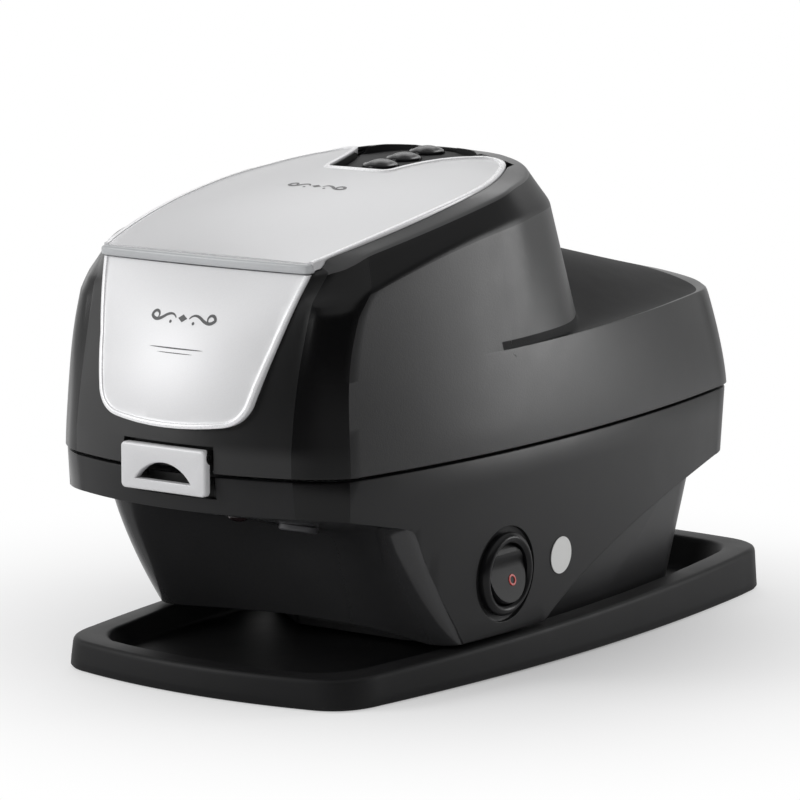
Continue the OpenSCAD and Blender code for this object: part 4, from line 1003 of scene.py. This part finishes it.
def make_lid():
    outline = [(x, y - 5 if y < LID_FRONT + 1.2 else y) for x, y in lid_outline()]
    panel = rim_painted_highlight(moulding(outline, -2, rim_steps(0, 0.5, 1.5, 0.35)), 0.03)
    panel = on_top(diced(trimmed(panel, (0, LID_FRONT, 0), (0, -1, 0)), 2.0))
    cuts = []
    for side in (-1, 1):
        left, right = sorted((side * 23.6, side * 27.4))
        cuts.append(("DIFFERENCE", block(left, right, -1.6, 1.2, 128.9, 133.9)))
        cuts += [("DIFFERENCE", turned(rod(1.6, -1.2, 1.2, 32), crosswise(side * x, *LID_AXIS)))
                 for x in (22.4, 28.6)]
        cuts += [("UNION", bar((side * 4, y, top_z(4, y) - 2.6), (side * 22, y, top_z(22, y) - 2.6), 0.9))
                 for y in (-76, -68, -60, -52, -44)]
    part(carved(panel, *cuts), "lid_panel", "lid", [SILVER_LID_PAINTED_DARKER, SILVER_RIM_PAINTED_HIGHLIGHT], ["top_lid"], 28,
         keep_skins=True)


def make_lip():
    front = [(x, -98.4 + 430 - math.sqrt(430 ** 2 - x * x)) for x in (k * 3.3 for k in range(11))]
    side = [bezier((33, front[-1][1]), (35.2, front[-1][1] + 0.2), (35.2, -95.6), t) for t in (0.3, 0.6, 1)]
    mesh = prism(mirrored(front + side + [(35.2, -93.6), (20, -93.6), (0, -93.6)]), *LIP_Z)
    rims = [e for e in mesh.edges if abs(e.verts[0].co.z - e.verts[1].co.z) < 0.01]
    bmesh.ops.bevel(mesh, geom=rims, offset=0.7, offset_type="OFFSET", segments=4, profile=0.5,
                    affect="EDGES", material=-1)
    part(mesh, "lid_lip_bar", "lid", [LIP_GREY], ["lid_lip"], 40)


def make_fascia():
    steps = rim_steps(0.5, 1.1, 1.35, 0.4)
    mesh = rim_painted_highlight(moulding(fascia_outline(), -1.2, steps), 0.53)
    mesh = on_front(diced(trimmed(mesh, (0, 114.25, 0), (0, 1, 0)), 2.2))
    bmesh.ops.recalc_face_normals(mesh, faces=mesh.faces)
    part(mesh, "front_plate", "cover", [SILVER_PAINTED_LIGHTER, SILVER_RIM_PAINTED_HIGHLIGHT], ["front_fascia"], 28,
         keep_skins=True)


def ribbon(path, width, height=0.05):
    """A flat printed stroke along a path of (x, y) points; width takes 0 to 1 along it."""
    count = len(path) - 1

    def place(u, v):
        k = round(u * count)
        a, b = Vector(path[max(k - 1, 0)]), Vector(path[min(k + 1, count)])
        side = Vector((a.y - b.y, b.x - a.x)).normalized() * width(k / count) * (v - 0.5)
        return (path[k][0] + side.x, path[k][1] + side.y, height)
    return drape(count, 1, place)


def scroll(reach, rise, curl, way):
    """One wave of an ornament that ends in a curl; way is 1 to the right and -1 to the left."""
    line = [bezier((2.2, 0), (reach * 0.35, rise), (reach * 0.62, 0), k / 16) for k in range(17)]
    line += [bezier((reach * 0.62, 0), (reach * 0.86, -rise * 0.8), (reach, 0.1), k / 12) for k in range(1, 13)]
    centre = (reach - curl, 0.1)
    for k in range(1, 31):
        turn, r = k / 30 * 1.6 * math.pi, curl * (1 - 0.62 * k / 30)
        line.append((centre[0] + r * math.cos(turn), centre[1] + r * math.sin(turn)))
    return [(way * x, y) for x, y in line]


def ornament(reach, rise, curl, stroke):
    """A plain scroll pair with a lozenge between and a dot at each side."""
    def swelling(t):
        return stroke * (0.45 + 0.9 * math.sin(math.pi * min(t * 1.15, 1)) ** 0.8)
    pieces = [ribbon(scroll(reach, rise, curl, way), swelling) for way in (-1, 1)]
    lozenge = bmesh.new()
    flat_face(lozenge, [(-1.5, 0), (0, -1.0), (1.5, 0), (0, 1.0)], 0.05)
    pieces.append(lozenge)
    for x in (-reach * 0.36, reach * 0.36):
        dot = bmesh.new()
        bmesh.ops.create_circle(dot, cap_ends=True, segments=20, radius=0.42,
                                matrix=Matrix.Translation((x, -rise * 0.55, 0.05)))
        pieces.append(dot)
    return joined(*pieces)


def facing(mesh, axis, way):
    """Turns every face to look up an axis, or down it where way is -1."""
    for f in mesh.faces:
        f.normal_update()
        if f.normal[axis] * way < 0:
            f.normal_flip()
    return mesh


def make_prints():
    """Plain scrolls on the front plate and on the lid."""
    def tapering(most):
        return lambda t: most * math.sin(math.pi * t) ** 0.5 + 0.02
    scrolls = diced(turned(ornament(10.6, 1.9, 1.5, 0.62), Matrix.Translation((0, 101.2, 0.5))), 1.5)
    rules = joined(ribbon([(-9 + k, 0) for k in range(19)], tapering(0.34)),
                   ribbon([(-6 + k, -1.2) for k in range(13)], tapering(0.22)))
    rules = turned(rules, Matrix.Translation((0, 93.6, 0.5)))
    part(facing(on_front(joined(scrolls, rules)), 1, -1), "front_print", "cover", [PRINT_GREY], [],
         60)
    scrolls = diced(turned(ornament(9.4, 2.2, 1.6, 0.75), Matrix.Translation((0, -47, 0))), 1.5)
    part(facing(on_top(scrolls), 2, 1), "lid_print", "lid", [PRINT_GREY], [], 60)


def eye_outline(grow=0.0):
    r, shift = 5.76 + grow, 1.36
    half = math.degrees(math.acos(shift / r))
    right = arc(0, -shift, r, 90 - half, 90 + half, 28)
    left = arc(0, shift, r, 270 - half, 270 + half, 28)
    return right + left[1:-1]


def make_control_panel():
    mesh = on_top(diced(moulding(grown(control_outline(), -0.1), -3.85, [(0, -2.25), (0.15, -2.05), (0.4, -2)]),
                        2.0))
    cuts = [("DIFFERENCE", turned(prism(eye_outline(0.25), -8, 12), button_spot(k))) for k in (-1, 0, 1)]
    part(carved(mesh, *cuts), "button_panel", "cover", [CONTROL_BLACK], ["control_panel"], 30)


def make_buttons():
    def dome(p):
        if p.z < 0.3:
            return p
        return p.x, p.y, p.z + 1.25 * max(1 - (p.x * p.x + p.y * p.y) / 21, 0) ** 1.15
    for k, name in ((-1, "front"), (0, "middle"), (1, "rear")):
        cap = moulding(eye_outline(), -1.2, [(0, 0.30), (0.08, 0.46), (0.22, 0.57), (0.45, 0.63)])
        mesh = joined(moved(diced(cap, 0.55), dome), rod(1.8, -8.4, -1.1, 32, 0.3))
        part(turned(mesh, button_spot(k)), "button_cap_" + name, name + "_button", [BUTTON_BLACK],
             ["button_" + name], 35)


# ---------------------------------------------------------------- front latch
def rounded_box(w, h, r, count=8):
    return (arc(w / 2 - r, h / 2 - r, r, 0, 90, count) + arc(r - w / 2, h / 2 - r, r, 90, 180, count)
            + arc(r - w / 2, r - h / 2, r, 180, 270, count) + arc(w / 2 - r, r - h / 2, r, 270, 360, count))


def make_latch():
    """The latch plate, with a moon-shaped finger hole and two knuckles on the pin behind it."""
    plate = moulding(rounded_box(28.6, 12.4, 1.4), 0, [(0, 1.55), (0.08, 1.85), (0.3, 2.1), (0.65, 2.2)])
    low, centre, r = 58.9 - LATCH_Z, 52.6 - LATCH_Z, 11.3
    half = math.degrees(math.acos((low - centre) / r))
    moon = arc(0, centre, r, 90 - half, 90 + half, 40)
    plate = carved(plate, ("DIFFERENCE", prism(moon, -1, 4)))
    rims = [e for e in plate.edges if min(v.co.z for v in e.verts) > 2.19 and len(e.link_faces) == 2
            and e.calc_face_angle(0) > 1.2]
    bmesh.ops.bevel(plate, geom=rims, offset=0.4, offset_type="OFFSET", segments=3, profile=0.5,
                    affect="EDGES", material=-1)
    plate = moved(plate, lambda p: (p.x, -114 + 2.2 - p.z, LATCH_Z + p.y))
    bmesh.ops.recalc_face_normals(plate, faces=plate.faces)
    knuckles = [turned(rod(1.7, 0, 5, 32, 0.2), crosswise(x, *LATCH_AXIS)) for x in (-10.5, 5.5)]
    tongues = [block(x, x + 3, -112, -110.1, 57, 58.6, 0.2) for x in (-12, 9)]
    catches = [block(x, x + 3, -111, -110.1, 56.6, 58.6, 0.2) for x in (-12, 9)]
    bore = turned(rod(0.95, 0, 40, 32), crosswise(-20, *LATCH_AXIS))
    gaps = [turned(rod(2.0, 0, 3.8, 32), crosswise(x, *LATCH_AXIS)) for x in (-15, -1.9, 11.2)]
    mesh = carved(plate, *[("UNION", piece) for piece in knuckles + tongues + catches],
                  *[("DIFFERENCE", hole) for hole in [bore] + gaps])
    part(mesh, "latch_face", "latch", [LATCH_SILVER], ["latch_plate"], 35)


# ---------------------------------------------------------------- lower housing
def housing_point(s, z, depth=0.0):
    a, b = seam_at(max(s - 0.02, 0)), seam_at(min(s + 0.02, 32))
    way = Vector((b[1] - a[1], a[0] - b[0])).normalized()
    if s < 0.02:
        way = Vector((0, -1))
    if s > 31.98:
        way = Vector((0, 1))
    x, y = seam_at(s)
    d, h = depth + 0.5, HOUSING_TOP - z
    return max(x - way.x * (d + SIDE_LEAN * h), 0), y - way.y * (d + END_LEAN * h), z


HOUSING_SKINS = [BODY_BLACK, NECK_BLACK_PAINTED_REFLECTION, BAND_BLACK]


def housing_solid(depth, top, foot, rounding=0.0, skins=False):
    """The housing's outside as a solid, or with a depth the solid inside its wall."""
    heights = [(foot, rounding), (foot + rounding * 0.3, rounding * 0.3), (foot + rounding, 0)]
    heights += [(mix(foot, top, t), 0) for t in (0.12, 0.25, 0.4, 0.55, 0.7, 0.85)]
    heights += [(top - rounding, 0), (top - rounding * 0.3, rounding * 0.3), (top, rounding)]
    across, along = len(STATIONS) - 1, len(heights) - 1

    def place(u, v):
        z, extra = heights[round(v * along)]
        return housing_point(STATIONS[round(u * across)], z, depth + extra)
    mesh = drape(across, along, place)
    if skins:
        for f in mesh.faces:
            s = STATIONS[min(v.index % (across + 1) for v in f.verts)]
            f.material_index = HOUSING_SKINS.index(BAND_BLACK if FRONT_END <= s < CORNER_END else BODY_BLACK)
    return capped(halved(mesh))


def ceiling_z(x, y):
    """The underside of the overhang."""
    return 51 - CEILING_SLOPE * (y + 110) + 3 * (x / 50) ** 2


def neck_y(x, z):
    """The front of the neck, hollow across its middle and rounded at its corners."""
    d = 44.7 - z
    corner_x = 46 + 0.02 * d
    hollow = (20 - 0.3 * d) * (1 - min(abs(x) / corner_x, 1) ** 2.2) ** 1.35
    edge = clamp((abs(x) - corner_x + 5) / 10.3, 0, 1)
    return -78.3 + 0.45 * d + 0.0055 * d * d + hollow + 6.5 * (1 - math.sqrt(1 - edge ** 2))


def hand_space(grow):
    """The open space in front of the neck and below the overhang."""
    half = [*range(0, 37, 3), 38.5, 40.5, 42, 43.5, 45, 46.2, 47.3, 48.3, 49.2, 49.9, 50.4, 50.8, 51.1, 51.3,
            51.5, 51.9, 54, 60, 70]

    def loop(x):
        top = ceiling_z(x, neck_y(x, ceiling_z(x, neck_y(x, 40)))) + grow
        back = neck_y(x, top) + grow
        depths = [mix(-118, back, k / 12) for k in range(13)]
        ceiling = [Vector((x, y, ceiling_z(x, y) + grow)) for y in depths]
        heights = [mix(top - grow, -6, k / 16) for k in range(1, 17)]
        wall = [Vector((x, neck_y(x, z) + grow, z)) for z in heights]
        corner = ceiling.pop()
        a = corner + (ceiling[-1] - corner).normalized() * 2.5
        b = corner + (wall[0] - corner).normalized() * 2.5
        foot = (x, -130, -6)
        return [foot, (x, -130, ceiling[0].z), *ceiling, a, *curve(a, corner, b, 4), *wall[1:], foot]
    rows = [loop(x) for x in [-x for x in reversed(half[1:])] + half]
    across, along = len(rows) - 1, len(rows[0]) - 1
    return capped(drape(across, along, lambda u, v: rows[round(u * across)][round(v * along)]))


def rear_undercut():
    """What the housing's flank leaves open above the foot; x and y turn into y and z."""
    sweep = [(-14.5, 10.6)] + curve((-14.5, 10.6), (18.5, 32.3), (91, 41.7), 40)
    mesh = prism([(130, -10), (130, 45), *reversed(sweep), (-14.5, -10)], -80, 80)
    return turned(mesh, Matrix(((0, 0, 1, 0), (1, 0, 0, 0), (0, 1, 0, 0), (0, 0, 0, 1))))


def housing_side_x(y, z):
    return seam_side_x(y) - 0.5 - SIDE_LEAN * (HOUSING_TOP - z)


def on_flank(y, z, out=0.0):
    """Lays an upright shape on the housing's right side, looking outwards."""
    return (Matrix.Translation((housing_side_x(y, z) + out, y, z)),
            Matrix.Rotation(math.pi / 2 + math.atan(SIDE_LEAN), 4, "Y"))


SWITCH_PLACE, SWITCH_TURN = on_flank(-33.1, 27.5)
SWITCH = SWITCH_PLACE @ SWITCH_TURN


def at_nozzle(side):
    """A place under the ceiling: the nozzle's where side is 1 and the sensor's where it is -1."""
    return (Matrix.Translation((side * 10.5, -69, ceiling_z(10.5, -69)))
            @ Matrix.Rotation(-math.atan(CEILING_SLOPE), 4, "X"))


def make_housing():
    space = hand_space(0)
    for f in space.faces:
        f.material_index = HOUSING_SKINS.index(NECK_BLACK_PAINTED_REFLECTION)
    dish = turned_profile([(0, -1.1), (12.7, -1.1), (13.05, -1.0), (13.2, -0.7), (13.2, 0), (13.3, 5),
                           (0, 5)], 96)
    holes = [
        space,
        rear_undercut(),
        carved(housing_solid(WALL, HOUSING_TOP + 1, 4), ("DIFFERENCE", hand_space(WALL))),
        turned(rod(10.1, -8, 8), SWITCH),
        turned(dish, SWITCH),
        turned(rod(3.8, -4, 6, 32), at_nozzle(1)),
        turned(rod(3.3, -4, 6, 32), at_nozzle(-1)),
        latch_room(),
        block(-13, 13, LATCH_BACK, -107.6, 54.9, 62.9),
        block(-21, 21, 108, 116, 51, 63),
    ]
    mesh = carved(housing_solid(0, HOUSING_TOP, HOUSING_FOOT, 0.5, skins=True),
                  *[("DIFFERENCE", hole) for hole in holes])
    part(mesh, "housing_shell", "base", HOUSING_SKINS, ["lower_housing"], 30, keep_skins=True)


# ---------------------------------------------------------------- drip tray
def tray_half(inset):
    """Half of the tray's outline, moved in from its edge."""
    h, w = TRAY_HALF[1] - inset, TRAY_HALF[0] - inset
    front_x, back_x = w - 17, w - 23

    def front(x):
        return x, 6.2 * (x / 45) ** 2 - h
    flank = [mix(20 - h, h - 16, k / 36) for k in range(1, 36)]
    points = [front(front_x * k / 18) for k in range(19)]
    points += curve(front(front_x), (w - 7.4, 7.4 - h), (w - 6.4, 20 - h), 20)
    points += [(w - 6.4 * (abs(y) / (h - 20)) ** 2, y) for y in flank]
    points += [(w - 7.2, h - 16)] + curve((w - 7.2, h - 16), (w - 8.6, h - 2.5), (back_x, h - 1.6), 20)
    points += [(x, h - 1.6 * (x / back_x) ** 2) for x in (back_x * (1 - k / 10) for k in range(1, 11))]
    return [(x, y + 4) for x, y in points]


def rim_z(y):
    return mix(8.5, 13, (y - 4 + TRAY_HALF[1]) / (2 * TRAY_HALF[1]))


def make_tray():
    """The tray as rings of (how far in, height); rings of the rolled rim are measured from its slope."""
    under = [(9.4, 1.2), (8.6, 0.2), (0.9, 0.2), (0.4, 0.35), (0.0, 1.0), (0.12, 3.0)]
    rim = [(0.5, -1.6), (0.62, -0.9), (0.85, -0.4), (1.25, -0.1), (1.7, 0), (6.7, 0), (7.1, -0.08),
           (7.5, -0.35), (7.75, -0.8), (8.2, -1.6)]
    floor = [(9.2, 4.1), (9.6, 3.4), (10.4, 3.0), (14, 3.0)]

    def middle(z):
        return [(x * 0.2, (y - 4) * 0.2 + 4, z) for x, y in tray_half(12)]
    rings = [middle(1.2)] + [[(x, y, z) for x, y in tray_half(inset)] for inset, z in under]
    rings += [[(x, y, z + rim_z(y)) for x, y in tray_half(inset)] for inset, z in rim]
    rings += [[(x, y, z) for x, y in tray_half(inset)] for inset, z in floor] + [middle(3.0)]
    across, along = len(rings[0]) - 1, len(rings) - 1
    mesh = drape(across, along, lambda u, v: rings[round(v * along)][round(u * across)])
    part(capped(halved(mesh)), "tray_body", "tray", [TRAY_BLACK], ["drip_tray"], 40)


# ---------------------------------------------------------------- rocker switch and sticker
def make_switch():
    bezel = turned_profile([(8.7, -11), (8.7, 0.9), (8.9, 1.1), (9.45, 1.5), (9.75, 1.62), (10.2, 1.62),
                            (10.5, 1.5), (10.9, 1.15), (11.35, 0.75), (11.5, 0.45), (11.5, -1.1), (9.9, -1.1),
                            (9.9, -17), (0, -17), (0, -11), (8.7, -11)], 96)
    legs = [block(x - 0.4, x + 0.4, -2.4, 2.4, -24, -16.5) for x in (-5, 0, 5)]
    part(turned(joined(bezel, *legs), SWITCH), "switch_bezel", "base", [SWITCH_BLACK], ["switch_housing"],
         40)


ROCKER = SWITCH @ Matrix.Translation((0, 0, -1.2)) @ Matrix.Rotation(math.radians(-9), 4, "Y")


def make_rocker():
    ball = bmesh.new()
    bmesh.ops.create_uvsphere(ball, u_segments=96, v_segments=64, radius=8.4)
    top = [(-9, -6), (9, -6), (9, 2.6), (4, 2.05), (0.6, 1.7), (-1.6, 1.5), (-2.4, 1.5), (-3.0, 1.65),
           (-3.6, 2.0), (-4.4, 2.35), (-5.4, 2.45), (-6.6, 2.25), (-7.6, 1.8), (-9, 1.0)]
    wedge = turned(prism(top, -10, 10), Matrix.Rotation(math.pi / 2, 4, "X"))
    mesh = carved(ball, ("INTERSECT", wedge))
    part(turned(mesh, ROCKER), "rocker_cap", "rocker", [ROCKER_BLACK], ["switch_rocker"], 24)


def make_mark():
    ring = turned_profile([(1.0, -0.05), (1.0, 0.12), (1.06, 0.2), (1.15, 0.22), (1.45, 0.22), (1.54, 0.2),
                           (1.6, 0.12), (1.6, -0.05), (1.0, -0.05)], 48)
    spot = ROCKER @ Matrix.Translation((2.1, 1.6, 1.84)) @ Matrix.Rotation(math.radians(-5.9), 4, "Y")
    part(turned(ring, spot), "rocker_mark", "rocker", [MARK_RED], ["switch_mark"], 40)


def make_nozzle():
    """The lather outlet: a flanged ring under the ceiling, on a stem that goes up to the hose."""
    ring = turned_profile([(2.2, -1.2), (2.5, -1.6), (3.0, -1.75), (4.7, -1.75), (5.15, -1.6), (5.4, -1.2),
                           (5.4, -0.15), (3.5, -0.15), (3.5, 7.4), (2.2, 7.4), (2.2, -1.2)], 64)
    part(turned(ring, at_nozzle(1)), "nozzle_ring", "base", [NOZZLE_GREY], ["nozzle"], 30)


def make_sensor_lens():
    lens = turned_profile([(0, -1.5), (0.9, -1.42), (1.8, -1.15), (2.5, -0.75), (2.85, -0.35), (3.0, 0.1),
                           (3, 2.6), (4.2, 2.6), (4.2, 3.6), (0, 3.6)], 48)
    part(turned(lens, at_nozzle(-1)), "sensor_lens", "base", [LENS_DARK], ["sensor_window"], 30)


def make_sticker():
    place, turn = on_flank(-6.6, 28.5, 0.04)
    disc = turned_profile([(0, 0), (5.15, 0), (5.2, 0.06), (5.2, 0.17), (5.12, 0.25), (0, 0.25)], 64)
    mesh = turned(disc, place @ Matrix.Rotation(math.radians(2.2), 4, "Z") @ turn)
    part(mesh, "round_sticker", "base", [STICKER_WHITE], ["inspection_dot"], 40)


def make_foot():
    part(from_node("foot_shell"), "foot_body", "base", [FOOT_BLACK], ["foot_shell"], 30)


for make in (make_cover, make_lid, make_lip, make_fascia, make_prints, make_control_panel, make_buttons,
             make_latch, make_housing, make_tray, make_switch, make_rocker, make_mark, make_nozzle,
             make_sensor_lens, make_sticker, make_foot):
    make()


# ---------------------------------------------------------------- floor, light and camera
def make_floor():
    """A matt white floor, which turns into the plain white background away from the machine; its glow already
    starts under the machine, so it paints light over part of the machine's shadow.
    """
    f = Finish("floor_white")
    away = f.node("ShaderNodeVectorMath", {0: f.place}, out="Value", operation="LENGTH")
    seen = f.node("ShaderNodeLightPath", out="Is Camera Ray")
    matt = f.node("ShaderNodeBsdfDiffuse", {"Color": (0.96, 0.96, 0.965, 1)})
    glow = f.node("ShaderNodeEmission", {"Color": (1, 1, 1, 1), "Strength": 1.0})
    # The camera's glow rises from the floor's middle outwards: painted light over the machine's near shadow
    both = f.node("ShaderNodeMixShader", {0: f.ranged(away, 0.0, 0.22) * seen, 1: matt, 2: glow})
    f.node("ShaderNodeOutputMaterial", {"Surface": both})
    mesh = bmesh.new()
    bmesh.ops.create_grid(mesh, x_segments=8, y_segments=8, size=6)
    as_object(mesh, "floor", [f.owner])


def make_card(name, start, end, tone):
    """A tall studio card 3 m away, which only gloss sees; its angles run from the right to behind."""
    turns = [math.radians(mix(start, end, k / 24)) for k in range(25)]
    mesh, line, edges = open_line([(3 * math.cos(a), 3 * math.sin(a), -0.02) for a in turns])
    result = bmesh.ops.extrude_edge_only(mesh, edges=edges)
    bmesh.ops.translate(mesh, vec=(0, 0, 2.4), verts=only(bmesh.types.BMVert, result["geom"]))
    f = Finish(name)
    f.node("ShaderNodeOutputMaterial",
           {"Surface": f.node("ShaderNodeBsdfDiffuse", {"Color": (tone, tone, tone, 1)})})
    card = as_object(mesh, name, [f.owner])
    card.visible_camera = False
    card.visible_diffuse = False
    card.visible_shadow = False


def make_world():
    """White for the camera and, below the ceiling, for gloss; dimmer as light on the machine."""
    f = Finish("studio", bpy.data.worlds)
    bpy.context.scene.world = f.owner
    seen, gloss, through = (f.node("ShaderNodeLightPath", out=f"Is {kind} Ray")
                            for kind in ("Camera", "Glossy", "Transmission"))
    up = f.node("ShaderNodeSeparateXYZ", {0: f.node("ShaderNodeTexCoord", out="Generated")}, out="Z")
    high = (up * 3.0 - 0.9).most(0.0).least(1.0)
    level = 0.55 + seen.most(gloss.most(through) * (1 - high * 0.8)) * 0.45
    light = f.node("ShaderNodeBackground", {"Color": (1, 1, 1, 1), "Strength": level})
    f.node("ShaderNodeOutputWorld", {"Surface": light})


def lamp(name, spot, aim, size, power, depth=None):
    light = bpy.data.lights.new(name, "AREA")
    light.shape = "RECTANGLE"
    light.size = size
    light.size_y = depth or size
    light.energy = power
    obj = linked(name, light)
    obj.location = spot
    obj.rotation_euler = (Vector(aim) - Vector(spot)).to_track_quat("-Z", "Y").to_euler()


def make_camera():
    turn, rise = math.radians(36.4), math.radians(9.2)
    back = Vector((math.sin(turn) * math.cos(rise), -math.cos(turn) * math.cos(rise), math.sin(rise)))
    data = bpy.data.cameras.new("photo_camera")
    data.sensor_width = 36
    data.lens = 4440 * data.sensor_width / 800
    data.clip_start, data.clip_end = 0.05, 50
    camera = linked("photo_camera", data)
    camera.location = Vector((28.5, -47.4, 74.7)) * MM + back * 1.2
    camera.rotation_euler = (-back).to_track_quat("-Z", "Y").to_euler()
    bpy.context.scene.camera = camera


make_floor()
make_card("card_front", -140, -12, 0.03)
make_card("card_right", -12, 80, 0.09)
make_world()
lamp("key_soft", (-0.95, -1.15, 0.62), (0, -0.08, 0.09), 0.6, 9.5)
lamp("top_soft", (-0.50, 0.62, 0.80), (0, -0.03, 0.12), 0.45, 1.3)
lamp("right_soft", (0.46, 0.54, 0.17), (0.05, -0.05, 0.10), 0.2, 1.25, 0.24)
make_camera()

bpy.context.scene.view_settings.view_transform = "Standard"
